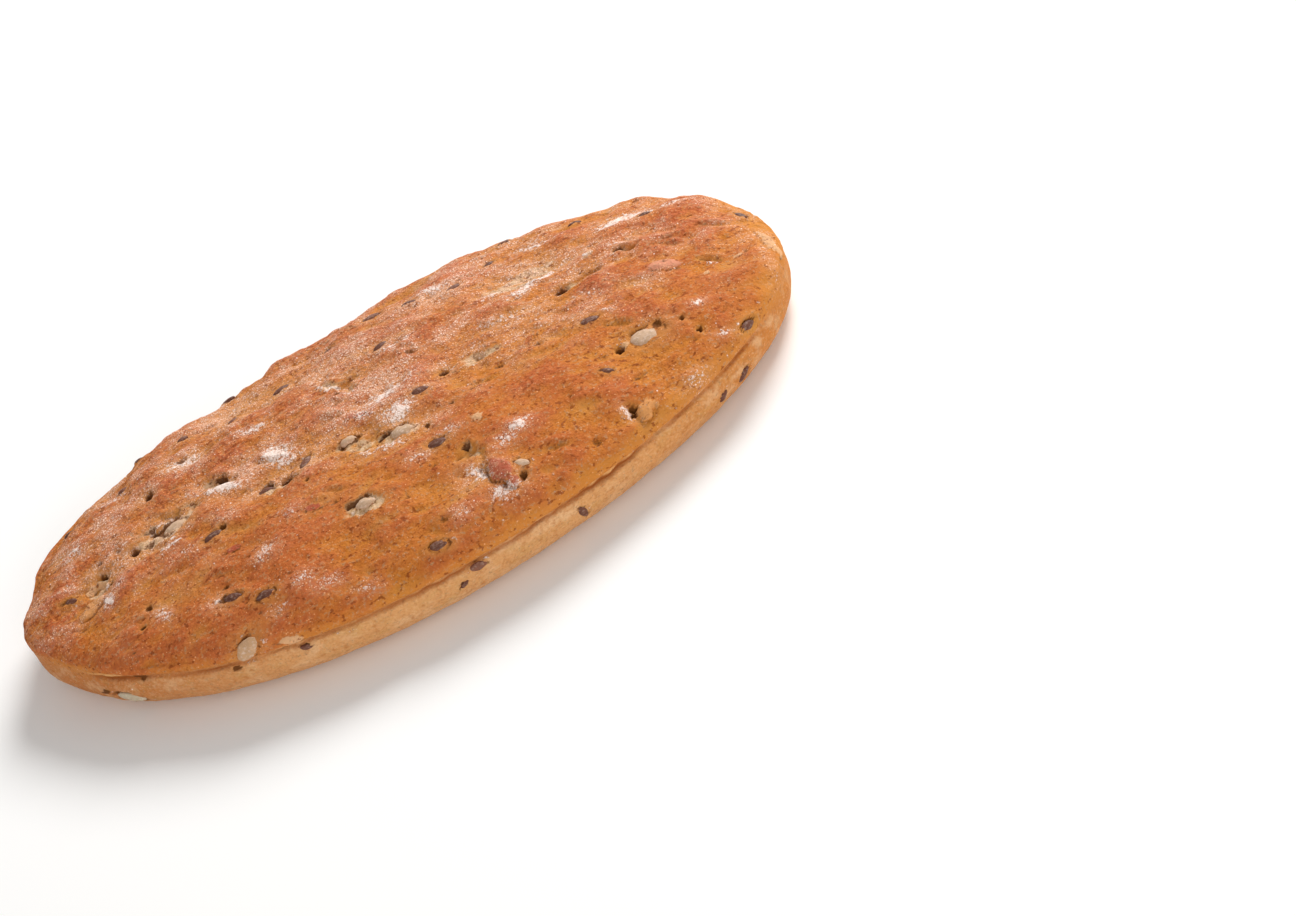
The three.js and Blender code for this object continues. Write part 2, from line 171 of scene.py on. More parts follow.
# ---- the plain roll, in millimetres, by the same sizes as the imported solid

rollShape = {
    "halfLength": 100.0, "halfWidth": 52.0, "height": 26.5,
    "creaseHeight": 11.9, "creaseFall": 0.4, "creaseDepth": 1.1, "creaseSharpness": 4, "lipHeight": 2.5,
    "baseInset": 6.5, "bandBelly": 0.7, "bandInset": 0.2,
    "restLength": 124.0, "restWidth": 60.0, "restRamp": 2.0, "restLift": 0.25,  # the flat spot under it
    "domeShoulder": 2.18, "domeFullness": 1.78, "leanX": -0.04, "leanY": -0.07,
    "lipLatitude": 8.0, "bellyLatitude": -12.0, "footLatitude": -34.0,  # degrees on the ball
    "waves": [(1, 0.029, -69), (2, 0.013, 59), (3, 0.021, 112), (4, 0.018, -120), (5, 0.004, -68)],
    "bumps": [(138, 9, 1.0), (164, 7, -1.6), (-178, 8, 1.2), (33, 7, -1.1), (88, 6, -0.7), (111, 5, -0.6)],
    "creaseFrom": 0.38, "creaseTo": 0.58, "creaseLean": 0.09,  # it runs out at the tips, sooner at the +X one
}


def smoothStep(value, low, high):
    share = np.clip((value - low) / (high - low), 0, 1)
    return share * share * (3 - 2 * share)


def bell(value, width):
    return np.exp(-(value / width) ** 2)


def mound(u, v, length, width):
    return np.exp(-(u / length) ** 2 - (v / width) ** 2)


def outlineShare(angle):
    share = 1.0
    for lobes, swell, towards in rollShape["waves"]:
        share = share + swell * np.cos(lobes * angle - towards * degree)
    return share


# single bumps and dents of the outline: towards, width in degrees, how far out
def outlineBump(angle):
    out = 0 * angle
    for towards, width, reach in rollShape["bumps"]:
        away = np.degrees(angle) - towards
        out = out + reach * bell(away - 360 * np.round(away / 360), width)
    return out


def outlinePoint(angle, inset):
    length, width = rollShape["halfLength"], rollShape["halfWidth"]
    share = outlineShare(angle)
    x = length * np.cos(angle) * share
    y = width * np.sin(angle) * share
    kept = 1 - (inset - outlineBump(angle)) * np.hypot(x / length ** 2, y / width ** 2)
    return x * kept, y * kept


def latitudeOf(direction):
    return np.degrees(np.arcsin(np.clip(direction[:, 2], -1, 1)))


# how much of the crease is left, by direction: all of it along the sides, none at the tips
def creaseSide(angle):
    side = np.abs(np.sin(angle)) - rollShape["creaseLean"] * np.cos(angle)
    return smoothStep(side, rollShape["creaseFrom"], rollShape["creaseTo"])


# one surface point for each direction of a ball: dome, lip, crease, side band, foot and flat base
def surfacePoints(direction):
    shape = rollShape
    angle = np.arctan2(direction[:, 1], direction[:, 0])
    latitude = latitudeOf(direction)
    lip, bellyAt, foot = shape["lipLatitude"], shape["bellyLatitude"], shape["footLatitude"]
    crease = shape["creaseHeight"] - shape["creaseFall"] * np.cos(angle)
    belly = crease * shape["bandBelly"]
    up = np.clip(latitude / lip, 0, 1)
    down = np.clip(latitude / bellyAt, 0, 1)
    curl = np.clip((latitude - foot) / (bellyAt - foot), 0, 1) * math.pi / 2
    share = np.cos(np.clip((latitude - lip) / (90 - lip), 0, 1) * math.pi / 2)
    lean = 1 + share * (shape["leanX"] * np.cos(angle) + shape["leanY"] * np.sin(angle))
    start = crease + shape["lipHeight"]
    rise = (1 - np.clip(share, 0, 1) ** shape["domeShoulder"]) ** (1 / shape["domeFullness"])
    depth = shape["creaseDepth"] * creaseSide(angle)
    sharp, inner = shape["creaseSharpness"], shape["bandInset"]
    base = shape["baseInset"]
    under = np.cos(latitude * degree) / math.cos(foot * degree)
    lift = shape["restLift"]
    zones = [latitude >= lip, latitude >= 0, latitude >= bellyAt, latitude >= foot]
    inset = np.select(zones, [0 * up, depth * (1 - up) ** sharp,
                              inner + (depth - inner) * (1 - down) ** sharp,
                              base - (base - inner) * np.sin(curl)], base)
    height = np.select(zones, [start + (shape["height"] - start) * rise * lean,
                               crease + shape["lipHeight"] * up,
                               crease + (belly - crease) * down,
                               belly - (belly - lift) * np.cos(curl)], lift)
    scale = np.select(zones, [share, 1 + 0 * up, 1 + 0 * up, 1 + 0 * up], under)
    x, y = outlinePoint(angle, inset)
    x, y = x * scale, y * scale
    beyond = np.maximum(np.abs(x) - shape["restLength"] / 2, np.abs(y) - shape["restWidth"] / 2)
    height = np.where(latitude < foot, lift * smoothStep(beyond, 0, shape["restRamp"]), height)
    return np.stack([x, y, height], 1)


def unit(vectors):
    return vectors / np.linalg.norm(vectors, axis=1, keepdims=True)


# outward directions, from the slope along two directions of the ball
def outwardAt(direction):
    step = 0.01
    side = unit(np.cross([0.0, 0.0, 1.0], direction) + [1e-12, 0, 0])  # never of no length, even at a pole
    rise = np.cross(direction, side)
    slopes = [surfacePoints(unit(direction + axis * step)) - surfacePoints(unit(direction - axis * step))
              for axis in (side, rise)]
    return unit(np.cross(slopes[0], slopes[1]))


def ballDirection(angle, latitude):
    flat = math.cos(latitude * degree)
    return np.array([[flat * math.cos(angle), flat * math.sin(angle), math.sin(latitude * degree)]])


def crustDirection(x, y):
    shape = rollShape
    angle = math.atan2(y / shape["halfWidth"], x / shape["halfLength"])
    share = min(1, math.hypot(x / shape["halfLength"], y / shape["halfWidth"]) / float(outlineShare(angle)))
    lip = shape["lipLatitude"]
    return ballDirection(angle, lip + math.acos(share) / (math.pi / 2) * (90 - lip))


def frontDirection(x, height):
    shape = rollShape
    angle = -math.acos(max(-1, min(1, x / shape["halfLength"])))
    crease = shape["creaseHeight"] - shape["creaseFall"] * math.cos(angle)
    belly = crease * shape["bandBelly"]
    bellyAt, foot = shape["bellyLatitude"], shape["footLatitude"]
    if height >= crease:
        return ballDirection(angle, (height - crease) / shape["lipHeight"] * shape["lipLatitude"])
    if height >= belly:
        return ballDirection(angle, (crease - height) / (crease - belly) * bellyAt)
    curl = math.acos(1 - height / belly) / (math.pi / 2)
    return ballDirection(angle, foot + (bellyAt - foot) * curl)


# ---- what marks the crust; every row is in millimetres and degrees

swells = {"count": 7, "longest": 64, "shortest": 17, "height": 0.42, "fade": 0.6, "turn": 2.4}

# broad hollows and blisters: x, y, length, width, turn, rise
undulations = [
    (-30, 33, 26, 15, 0, -1.5), (-58, 0, 24, 8, 7, -0.9), (-32, -5, 24, 8, 2, -0.8),
    (-4, -11, 30, 7, -20, -1.0), (43, 20, 24, 7, 7, -0.9), (54, 6, 18, 6, 4, -0.7),
    (9, -39, 17, 10, -8, -1.2), (14, -43, 8, 5, -70, 1.3), (-17, -32, 16, 6, -12, -0.8),
    (58, -26, 13, 9, -8, -0.9), (48, -44, 9, 8, 20, -0.8), (72, -5, 10, 6, -24, 0.8),
    (-82, -8, 11, 9, -18, -0.7), (-20, 14, 34, 16, -6, 0.7), (20, 10, 30, 18, -4, 0.6),
    (-60, 20, 22, 12, 12, 0.6),
]

# open cracks: x, y, length, turn, bend, width, depth
cracks = [
    (-58.7, 0.4, 18, 7, -1.2, 3.4, 1.1), (-44, 3.4, 10, -33, 0.6, 1.4, 1.6),
    (-31, -8.4, 13, -19, -0.4, 2.0, 1.7), (-6.7, -12.7, 22, -22, -0.8, 2.4, 1.6),
    (-8, 12.2, 12, -58, 0.8, 1.2, 0.9), (42.8, 18.6, 20, 7, -0.8, 2.6, 0.8),
    (53.5, 5.2, 13, 1, 0.4, 1.2, 1.6), (67.1, 8.0, 7, -20, 0.2, 1.1, 1.5),
    (24, -3.6, 11, -21, -0.6, 1.4, 0.9), (8.6, -34.1, 8, -26, 1.4, 2.0, 1.8),
    (81.8, -9, 7, -35, 0, 0.6, 0.9), (-17.5, -31.6, 9, -12, 0.8, 2.2, 1.5),
    (-79.6, -2.4, 8, 8, 0.6, 2.4, 0.7),
]

# round pits: x, y, width, depth
pits = [
    (-59.2, 14.3, 2.4, 1.8), (-68.5, -1.2, 2.6, 1.8), (52, -25, 2.2, 2.0), (62.6, -23.4, 2.0, 1.6),
    (14.3, -3.7, 2.2, 1.3), (-11, -7.4, 2.0, 1.8), (17.3, -45.8, 2.0, 1.4),
    (-47.6, -12.6, 1.8, 1.4), (-25.8, -14.3, 1.0, 1.0), (38, 9, 1.2, 0.9), (68.1, -25.5, 1.3, 1.0),
    (69.8, -29.6, 1.2, 1.0), (46.9, -42.0, 1.6, 1.8), (46.3, -43.4, 1.4, 1.4), (-55.7, -32.2, 2.6, 0.8),
    (-15, -9, 1.4, 1.0), (4.3, -18, 1.5, 0.9), (-78.6, -0.3, 1.6, 1.2), (-76.8, -5.4, 1.2, 0.7),
    (-71.6, -20.2, 1.4, 0.7), (-75.5, -23.8, 1.0, 0.8),
]

# skins and flakes that stand up from the crust: what colour, x, y, length, width, turn, height
flakes = [
    ("red", 13, -42.6, 8.4, 4.4, -70, 0.6), ("pink", 72, -5.5, 7, 3.4, -24, 0.4),
    ("tan", 48.6, -43.9, 3.6, 3.6, 10, 0.8), ("tan", 51.2, -42.6, 3.4, 1.2, -60, 0.4),
    ("red", -28, -24, 3.6, 1.6, -20, 0.2),
    ("tan", -83, -7.2, 6.8, 2.8, 16, 0.6), ("pale", -78, -1.8, 1.9, 1.5, 0, 0.6),
    ("pale", -77.3, -4.6, 1.6, 1.3, 30, 0.5), ("pale", -81, -1.8, 2.3, 1.2, 20, 0.4),
    ("red", -48, -21, 3.2, 1.4, -10, 0.2), ("pale", 15.2, -25.6, 2.4, 1.8, -20, 0.4),
    ("pale", 59.6, 12.5, 2.6, 1.6, 20, 0.4), ("red", -8, -2, 4, 1.6, -20, 0.2),
    ("pale", 53.2, -24.6, 2.2, 1.6, 30, 0.4), ("pale", 97.5, -9, 10, 2.2, -85, 0.3),
    ("pale", 88.5, -11.5, 1.4, 1.0, 0, 0.4), ("pale", 79.5, -14, 1.4, 1.0, 40, 0.4),
]

# the same at the front by the crease: what colour, x, height, length, width, turn, how far it stands out
frontFlakes = [
    ("pale", -45.9, 14.0, 5.6, 1.7, -16, 0.35), ("dark", -59.8, 10.3, 1.8, 1.2, 0, -0.4),
    ("dark", -90.9, 6.7, 2.4, 1.6, 20, 0.4), ("dark", -81.6, 11.6, 1.9, 1.9, 0, 0.5),
]

# flour left on the crust: x, y, length, width, turn, amount
flourPatches = [
    (-27.8, 0.7, 9, 5, -47, 1.0), (-47.9, 18.1, 8, 5, -16, 0.9), (-32, 15.4, 10, 3, -26, 0.7),
    (-66, 24.5, 7, 4, -20, 0.7), (1.1, -8.8, 8, 5, 0, 1.0), (0.7, -0.6, 13, 5, 8, 0.9),
    (-5.5, -3.2, 5, 3, -25, 0.7), (-1.1, -26, 5, 2.5, -9, 0.7), (22.4, -33.8, 5, 3, -10, 0.9),
    (18.3, -35.4, 5, 3, -4, 0.7), (8.8, -24.4, 5, 2.5, -12, 0.6), (17.2, -2.8, 7, 3, -16, 0.5),
    (9.8, 13.9, 8, 3.5, -6, 0.8), (23.6, 31.6, 8, 4, -4, 0.7), (50.8, 30.5, 11, 3, -21, 0.8),
    (55.3, -11.8, 3.5, 1.4, -18, 0.8), (59.6, 12.5, 4, 2, 16, 0.8), (73.2, -22.7, 3, 2, 5, 0.7),
    (74, -32.6, 4, 2.5, 2, 0.6), (62.7, -40.6, 6, 2.5, 18, 0.5), (-26.8, -49.8, 6, 2, -11, 0.45),
    (-33.3, -44.2, 5, 2.5, -15, 0.55), (-38.1, -40.2, 5, 2.6, -16, 0.6), (-46.1, -42.8, 4, 2.5, -5, 0.45),
    (-57.3, -31.5, 5, 3, -19, 0.6), (-70.4, -24.4, 5, 3, -70, 0.7), (-78.6, -9.6, 4.4, 3.6, 60, 0.95),
    (1.2, -47.2, 4.4, 3.4, -1, 0.5), (-41.5, -28.1, 5, 4, -17, 0.6), (-56.7, -13, 7, 3, -19, 0.5),
    (-32.7, -21.6, 6, 3, -16, 0.4), (71.4, 21.8, 14, 5, -10, 0.9), (81.6, 17.9, 13, 3, -13, 0.8),
    (-43.7, 1, 12, 3, -34, 0.9), (8.6, -39.7, 6, 4, -66, 0.8), (12, -46.5, 7, 4, -10, 0.8),
    (-9, 13.7, 10, 2, -57, 0.9), (45.5, 13.7, 16, 3.5, 25, 0.9), (35, 15.3, 8, 2.5, 4, 0.8),
    (-81.5, 14.1, 8, 4, -4, 0.6), (-61, 2, 9, 3, 7, 0.6), (-5.3, 7.7, 8, 4, 3, 0.5),
    (31.7, 3.7, 14, 6, -11, 0.45), (50.7, -2.1, 8, 3, -14, 0.5), (-6, -17.5, 9, 2.5, -20, 0.7),
    (93.9, -14, 15, 2.5, -105, 0.4), (66.5, 11.4, 7, 2.0, -20, 0.7), (45.1, -42.6, 3.4, 1.7, -70, 0.8),
    (-74.8, -8, 5, 1.8, 20, 0.6),
]

# thin flour that only whitens the crust: x, y, length, width, turn, amount
flourVeils = [
    (-2, 3, 28, 18, 5, 1.0), (0, 23, 20, 12, -5, 0.9), (12, 20, 18, 10, 0, 0.8), (26, 28, 26, 12, -4, 1.0),
    (42, 19, 24, 10, 6, 0.9), (59, 17, 16, 7, 0, 0.5), (-12, 26, 22, 12, -8, 0.9), (-35, 33, 24, 10, 0, 1.0),
    (-39, 2, 24, 10, -8, 0.9), (-58, -1, 14, 8, 6, 0.7), (4, -17, 12, 6, -10, 0.6), (9, -40, 12, 8, -20, 0.5),
    (-25, 25, 16, 9, -8, 0.7), (-64, 17, 16, 9, -10, 0.6), (-79, -7, 9, 8, -10, 0.6),
    (73, 27, 14, 6, -10, 0.4), (41, 41, 30, 8, -8, 0.7), (-50, 19, 14, 8, 0, 0.6),
    (22, 4, 16, 8, -10, 0.5), (-14, 38, 30, 8, 4, 0.6),
]

# what is baked into the crust: kind, x, y, turn, size
crustSeeds = [
    ("kernel", 58.9, -24.9, -8, 1.12), ("kernel", -56.8, -1.4, 2, 0.9), ("kernel", -17, -30.9, -12, 0.7),
    ("kernel", -12.7, -7.9, 0, 0.6), ("kernel", -1, -15.4, -12, 0.8), ("kernel", 18, -43, -30, 0.5),
    ("linseed", 4.4, -25.7, -11, 1.0), ("linseed", -7.6, -50.6, -14, 1.0),
    ("linseed", -46.9, -38.6, -6, 1.0), ("linseed", -53.7, -33.3, -22, 0.95),
    ("linseed", 49.9, -12.9, -7, 0.95), ("linseed", 46.3, -30.4, -29, 0.7),
    ("linseed", 5.9, 17.7, 13, 0.85), ("linseed", 28.3, 26.5, 12, 0.85), ("linseed", 7.6, -6.8, -9, 0.9),
    ("linseed", -35, -7.9, -9, 0.8), ("linseed", -50.7, -13.3, 5, 1.0), ("linseed", -23.7, -6.9, 35, 0.9),
    ("linseed", -86, -1.4, -24, 0.7), ("linseed", 80.3, -32, 5, 0.9), ("linseed", 76.8, 18, 5, 0.7),
    ("linseed", 96, 5.5, -53, 0.8), ("linseed", -63.2, 25.2, 3, 0.6),
]

# on the side band at the front: kind, x, height, turn, size
bandSeeds = [
    ("oat", -55.3, 15.5, 30, 1.0), ("pumpkinSeed", -87, 4.5, 8, 0.8),
    ("linseed", -2.2, 9.8, -8, 0.9), ("linseed", -6.7, 7.2, 30, 0.55), ("linseed", 24.5, 6.2, -72, 0.85),
    ("linseed", -43.7, 10, -16, 0.6), ("linseed", 74, 5.2, 20, 0.9), ("linseed", 67, 5.4, 30, 0.7),
]

seedKinds = {
    "linseed": {"length": 4.8, "width": 2.4, "thickness": 1.3, "sunk": 0.22, "point": 0.35, "rough": 0.1},
    "kernel": {"length": 7.2, "width": 4.4, "thickness": 2.4, "sunk": 0.5, "point": 0.2, "rough": 0.3},
    "oat": {"length": 6.8, "width": 4.2, "thickness": 1.6, "sunk": 0.3, "point": 0.1, "rough": 0.4},
    "pumpkinSeed": {"length": 9.0, "width": 5.0, "thickness": 1.8, "sunk": 0.3, "point": 0.4, "rough": 0.24},
}

# linseeds strewn over the back, behind the line y = front
scatter = {
    "seed": 41, "count": 26, "tries": 400, "apart": 11, "front": 24,
    "reachX": 0.9, "reachY": 0.95, "inside": 0.93, "turns": 70, "least": 0.6, "greatest": 1.0,
}


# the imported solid's own draw of numbers, so that the back's linseeds lie where its linseeds lie
def drawFrom(seed, factor=16807, modulus=2147483647):
    state = seed
    while True:
        state = state * factor % modulus
        yield state / modulus


def scatteredSeeds():
    draw = drawFrom(scatter["seed"])
    taken = [(row[1], row[2]) for row in crustSeeds]
    found = []
    for attempt in range(scatter["tries"]):
        if len(found) == scatter["count"]:
            break
        x = (2 * next(draw) - 1) * rollShape["halfLength"] * scatter["reachX"]
        y = (2 * next(draw) - 1) * rollShape["halfWidth"] * scatter["reachY"]
        turn = (next(draw) - 0.5) * scatter["turns"]
        size = scatter["least"] + (scatter["greatest"] - scatter["least"]) * next(draw)
        inside = math.hypot(x / rollShape["halfLength"], y / rollShape["halfWidth"]) < scatter["inside"]
        clear = all(math.dist(spot, (x, y)) > scatter["apart"] for spot in taken)
        if inside and clear and y > scatter["front"]:
            taken.append((x, y))
            found.append(("linseed", x, y, turn, size))
    return found


# soft swells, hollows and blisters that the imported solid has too
def broadRelief(points, latitude):
    relief = np.zeros(len(points))
    last = swells["count"] - 1
    for wave in range(swells["count"]):
        span = swells["longest"] * (swells["shortest"] / swells["longest"]) ** (wave / last)
        turn = wave * swells["turn"]
        along = (points[:, 0] * math.cos(turn) + points[:, 1] * math.sin(turn)) / span
        relief += (swells["height"] * (span / swells["longest"]) ** swells["fade"]
                   * np.sin(2 * math.pi * along + wave * wave))
    for x, y, length, width, turn, rise in undulations:
        u, v = turned(points[:, 0] - x, points[:, 1] - y, turn)
        relief += rise * mound(2 * u, 2 * v, length, width)
    return relief * smoothStep(latitude, 0, 3 * rollShape["lipLatitude"])


def turned(x, y, turn):
    c, s = math.cos(turn * degree), math.sin(turn * degree)
    return x * c + y * s, y * c - x * s


# the place and the axes of a mark: middle, long axis, wide axis, outward
def spotFrame(direction, turn):
    outward = outwardAt(direction)[0]
    point = surfacePoints(direction)
    latitude = latitudeOf(direction)
    if latitude[0] > 0:
        point = point + outward * broadRelief(point, latitude)[0]
    along = np.array([1.0, 0, 0]) - outward * outward[0]
    along /= np.linalg.norm(along)
    across = np.cross(outward, along)
    c, s = math.cos(turn * degree), math.sin(turn * degree)
    return point[0], along * c + across * s, across * c - along * s, outward


# Perlin noise of a given size in mm, stretched along X where the dough was pulled
def grain(points, size, seed, stretch=1.0):
    scaled = points / (size * np.array([stretch, 1.0, 1.0])) + seed * 17.3
    return np.array([noise.noise(Vector(p)) for p in scaled.tolist()])


# ---- the bread: a ball of rows with its poles at the tips and one row on the crease

breadRows = {
    "tipDegrees": 36, "tipRows": 32, "tipCrowding": 1.15, "rows": 296,
    "lipRows": 12, "shoulderDegrees": 19, "shoulderRows": 12, "crustRows": 98,
    "bellyRows": 12, "footRows": 22, "baseRows": 12,
}


# the angle of every row from tip to tip
def tipAngles(settings):
    ends = np.linspace(0, 1, settings["tipRows"] + 1) ** settings["tipCrowding"] * settings["tipDegrees"]
    reach = math.cos(settings["tipDegrees"] * degree)
    middle = settings["rows"] - 2 * settings["tipRows"]
    between = np.degrees(np.arccos(reach * (1 - 2 * np.arange(1, middle) / middle)))
    return np.concatenate([ends, between, 180 - ends[::-1]])


# the angle of every column round the girth: back crease, crust, front crease, band and base
def girthAngles(settings):
    lip, shoulder = rollShape["lipLatitude"], settings["shoulderDegrees"]
    first = np.linspace(0, lip, settings["lipRows"] + 1)
    second = np.linspace(lip, shoulder, settings["shoulderRows"] + 1)[1:]
    reach = math.cos(shoulder * degree)
    share = np.arange(1, settings["crustRows"] + 1) / settings["crustRows"]
    third = np.degrees(np.arccos(reach * (1 - share)))
    crust = np.concatenate([first, second, third])
    stops = [(0, rollShape["bellyLatitude"], settings["bellyRows"]),
             (rollShape["bellyLatitude"], rollShape["footLatitude"], settings["footRows"]),
             (rollShape["footLatitude"], -90, settings["baseRows"])]
    band = np.concatenate([[0]] + [np.linspace(low, high, count + 1)[1:] for low, high, count in stops])
    return np.concatenate([crust, 180 - crust[-2::-1], 180 - band[1:], band[-2:0:-1]])


def allSeeds():
    spots = [(kind, crustDirection(x, y), turn, size) for kind, x, y, turn, size in crustSeeds]
    spots += [(kind, crustDirection(x, y), turn, size) for kind, x, y, turn, size in scatteredSeeds()]
    spots += [(kind, frontDirection(x, height), turn, size) for kind, x, height, turn, size in bandSeeds]
    return spots


# heights and depths in mm
reliefSettings = {
    "billow": 1.8, "lump": 0.6, "knob": 0.4, "pull": 0.3, "wrinkle": 0.4, "grit": 0.1,
    "settling": 0.3, "lipSwell": 0.45, "undercut": 0.7, "creaseWave": 0.45, "creaseLift": 0.8,
    "bandLump": 0.16, "crackRim": 0.35, "crumb": 0.6, "socketDepth": 0.5, "socketRim": 0.22, "lap": 0.55,
    "poreDepth": 0.55, "crumbHeight": 0.22, "dentDepth": 0.5, "tearHeight": 0.4, "valleyDepth": 0.8,
}

# noises that roughen the surface and fray its marks: size in mm, seed, stretch along X
surfaceGrains = {
    "billow": (10.5, 12, 1.5), "lump": (7.0, 2, 1.6), "knob": (2.8, 3, 1.4), "pull": (2.4, 1, 3.4),
    "wrinkle": (4.2, 7, 2.4), "streak": (1.6, 5, 2.2), "grit": (1.15, 4), "shift": (5.0, 9),
    "pulled": (19, 6), "wrinkled": (15, 8),
}
lipGrains = {"wander": (15, 11), "fray": (3.2, 13)}

# small marks strewn by chance: seed, count, least and greatest size in mm, share of the roll that they cover
strewnMarks = {
    "valleys": (12, 30, 6.0, 18.0, 0.9), "tears": (9, 90, 3.0, 9.0, 0.9), "dents": (10, 190, 2.5, 8.0, 0.97),
    "pores": (7, 260, 0.5, 1.2, 0.97), "crumbs": (8, 300, 0.6, 1.7, 0.97),
}

maskNames = ("hollow", "dark", "flour", "veil", "pale", "red", "pink", "tan", "crumb")
farAway = 1e4  # mm, where no mark reaches


def smallMarks(name, turns=(-35, 25)):
    seed, count, low, high, insideShare = strewnMarks[name]
    rng = random.Random(seed)
    found = []
    while len(found) < count:
        x = rng.uniform(-1, 1) * rollShape["halfLength"]
        y = rng.uniform(-1, 1) * rollShape["halfWidth"]
        if math.hypot(x / rollShape["halfLength"], y / rollShape["halfWidth"]) < insideShare:
            found.append((x, y, rng.uniform(low, high), rng.uniform(*turns), rng.random()))
    return found


# a mark only touches the points near it: their numbers, and their places along and across the mark
def pointsNear(bread, x, y, turn, reach):
    places = bread.places
    near = np.flatnonzero((np.abs(places[:, 0] - x) < reach) & (np.abs(places[:, 1] - y) < reach))
    u, v = turned(places[near, 0] - x, places[near, 1] - y, turn)
    return near, u, v


# the same for a mark on a steep side, measured along the surface
def pointsAround(bread, place, turn, reach):
    middle, along, across, up = spotFrame(place, turn)
    away = bread.base - middle
    near = np.flatnonzero(np.abs(away).max(1) < reach)
    return near, away[near] @ along, away[near] @ across


def raiseTo(bread, name, near, values):
    mask = bread.masks[name]
    mask[near] = np.maximum(mask[near], values)


# the surface before its marks, with the noises that they share and an empty mask of each kind
def startSurface(direction):
    plain = surfacePoints(direction)
    latitude = latitudeOf(direction)
    outward = outwardAt(direction)
    broad = broadRelief(plain, latitude)
    bread = SimpleNamespace(plain=plain, latitude=latitude, outward=outward, broad=broad)
    bread.angle = np.arctan2(direction[:, 1], direction[:, 0])
    bread.base = plain + outward * broad[:, None]
    bread.onCrust = smoothStep(latitude, 0.5, 14)
    for name, form in surfaceGrains.items():
        setattr(bread, name, grain(plain, *form))
    bread.masks = {name: np.zeros(len(plain)) for name in maskNames}
    return bread


# lumps, pulls and wrinkles of the dough, strongest over the busy back half of the crust
def roughen(bread):
    settings = reliefSettings
    billow = np.sqrt(bread.billow ** 2 + 0.0016) - 0.17
    wrinkle = 1 - 2.2 * np.abs(bread.wrinkle)
    pulled = smoothStep(bread.pulled, -0.3, 0.2)
    wrinkled = smoothStep(bread.wrinkled, -0.05, 0.35)
    relief = bread.lump * settings["lump"] + bread.knob * settings["knob"]
    relief += bread.pull * settings["pull"] * pulled
    relief += wrinkle * settings["wrinkle"] * wrinkled + billow * settings["billow"]
    busy = smoothStep(bread.plain[:, 1] + 9 * bread.lump, -30, 4) * smoothStep(bread.latitude, 3, 22)
    relief *= bread.onCrust * (0.7 + 0.3 * busy)
    relief += bread.knob * settings["bandLump"] * (1 - bread.onCrust)
    relief += bread.grit * settings["grit"] - settings["settling"] * bread.onCrust
    bread.relief, bread.busy = relief, busy


# marks are bent a little, so that none of them is a clean oval; those of the crust leave the band alone
def placeMarks(bread):
    bend = [1.1 * bread.lump + 0.5 * bread.knob, 0.9 * bread.shift + 0.45 * bread.streak]
    bread.places = bread.plain[:, :2] + np.stack(bend, 1)
    bread.places[bread.latitude < 0.5] = farAway


# shares of a crack's own width and depth; the rims' place and width, and what counts as deep, in mm
crackForm = {
    "fill": 0.85, "fray": 1.3, "valleyWidth": 1.5, "valleyDepth": 0.6, "trenchDepth": 0.4, "holeDepth": 0.9,
    "holesFrom": 0.38, "holesTo": 0.6, "rimAway": 0.9, "rimWidth": 0.8, "shallow": 0.6, "deep": 1.6,
}


# a crack is a shallow trench of crumb with raised rims, and opens into holes where it is deep, darkened with
# painted shade
def cutCracks(bread):
    settings, form = reliefSettings, crackForm
    for x, y, length, turn, bend, width, depth in cracks:
        near, u, v = pointsNear(bread, x, y, turn, length * 0.5 + 6)
        knob, streak, grit = bread.knob[near], bread.streak[near], bread.grit[near]
        share = np.clip(2 * u / length, -1, 1)
        taper = np.sqrt(1 - share ** 2)
        offset = v - bend * (1 - share ** 2)
        half = width * form["fill"] * taper * (1.0 + form["fray"] * streak + 0.6 * knob)
        trench = smoothStep(half - np.abs(offset), -0.5, 0.3) * taper
        valley = bell(offset, width * form["valleyWidth"]) * taper
        rims = bell(np.abs(offset) - half - form["rimAway"], form["rimWidth"]) * taper
        holes = offset / width + 1.2 * bread.pull[near] + 0.7 * streak
        holes = smoothStep(holes, form["holesFrom"], form["holesTo"]) * trench
        holes = holes * smoothStep(depth, form["shallow"], form["deep"])
        bread.relief[near] += settings["crackRim"] * rims * (1 + knob) - form["valleyDepth"] * valley
        bread.relief[near] -= depth * (form["trenchDepth"] * trench + form["holeDepth"] * holes)
        bread.relief[near] += settings["crumb"] * trench * (grit + knob)
        crumbly = trench * smoothStep(width, 0.8, 1.6) * smoothStep(knob + 0.5 * grit, -0.35, 0.05)
        raiseTo(bread, "hollow", near, np.clip(1.1 * valley * (1.0 + streak), 0, 1))
        raiseTo(bread, "crumb", near, crumbly)
        # painted shade in the crack's deep holes
        raiseTo(bread, "dark", near, np.clip(1.3 * holes, 0, 1))
        raiseTo(bread, "flour", near, 0.7 * rims * (offset < 0) * smoothStep(streak, -0.1, 0.3))


def cutPits(bread):
    for x, y, width, depth in pits:
        near, u, v = pointsNear(bread, x, y, 0, width * 3)
        away = np.hypot(u, v)
        pit = smoothStep(away, width * 0.62, width * 0.3)
        bread.relief[near] -= depth * pit + 0.3 * bell(away, width)
        # painted shade inside the pit
        raiseTo(bread, "dark", near, pit)
        raiseTo(bread, "hollow", near, 0.8 * bell(away, width * 1.1))


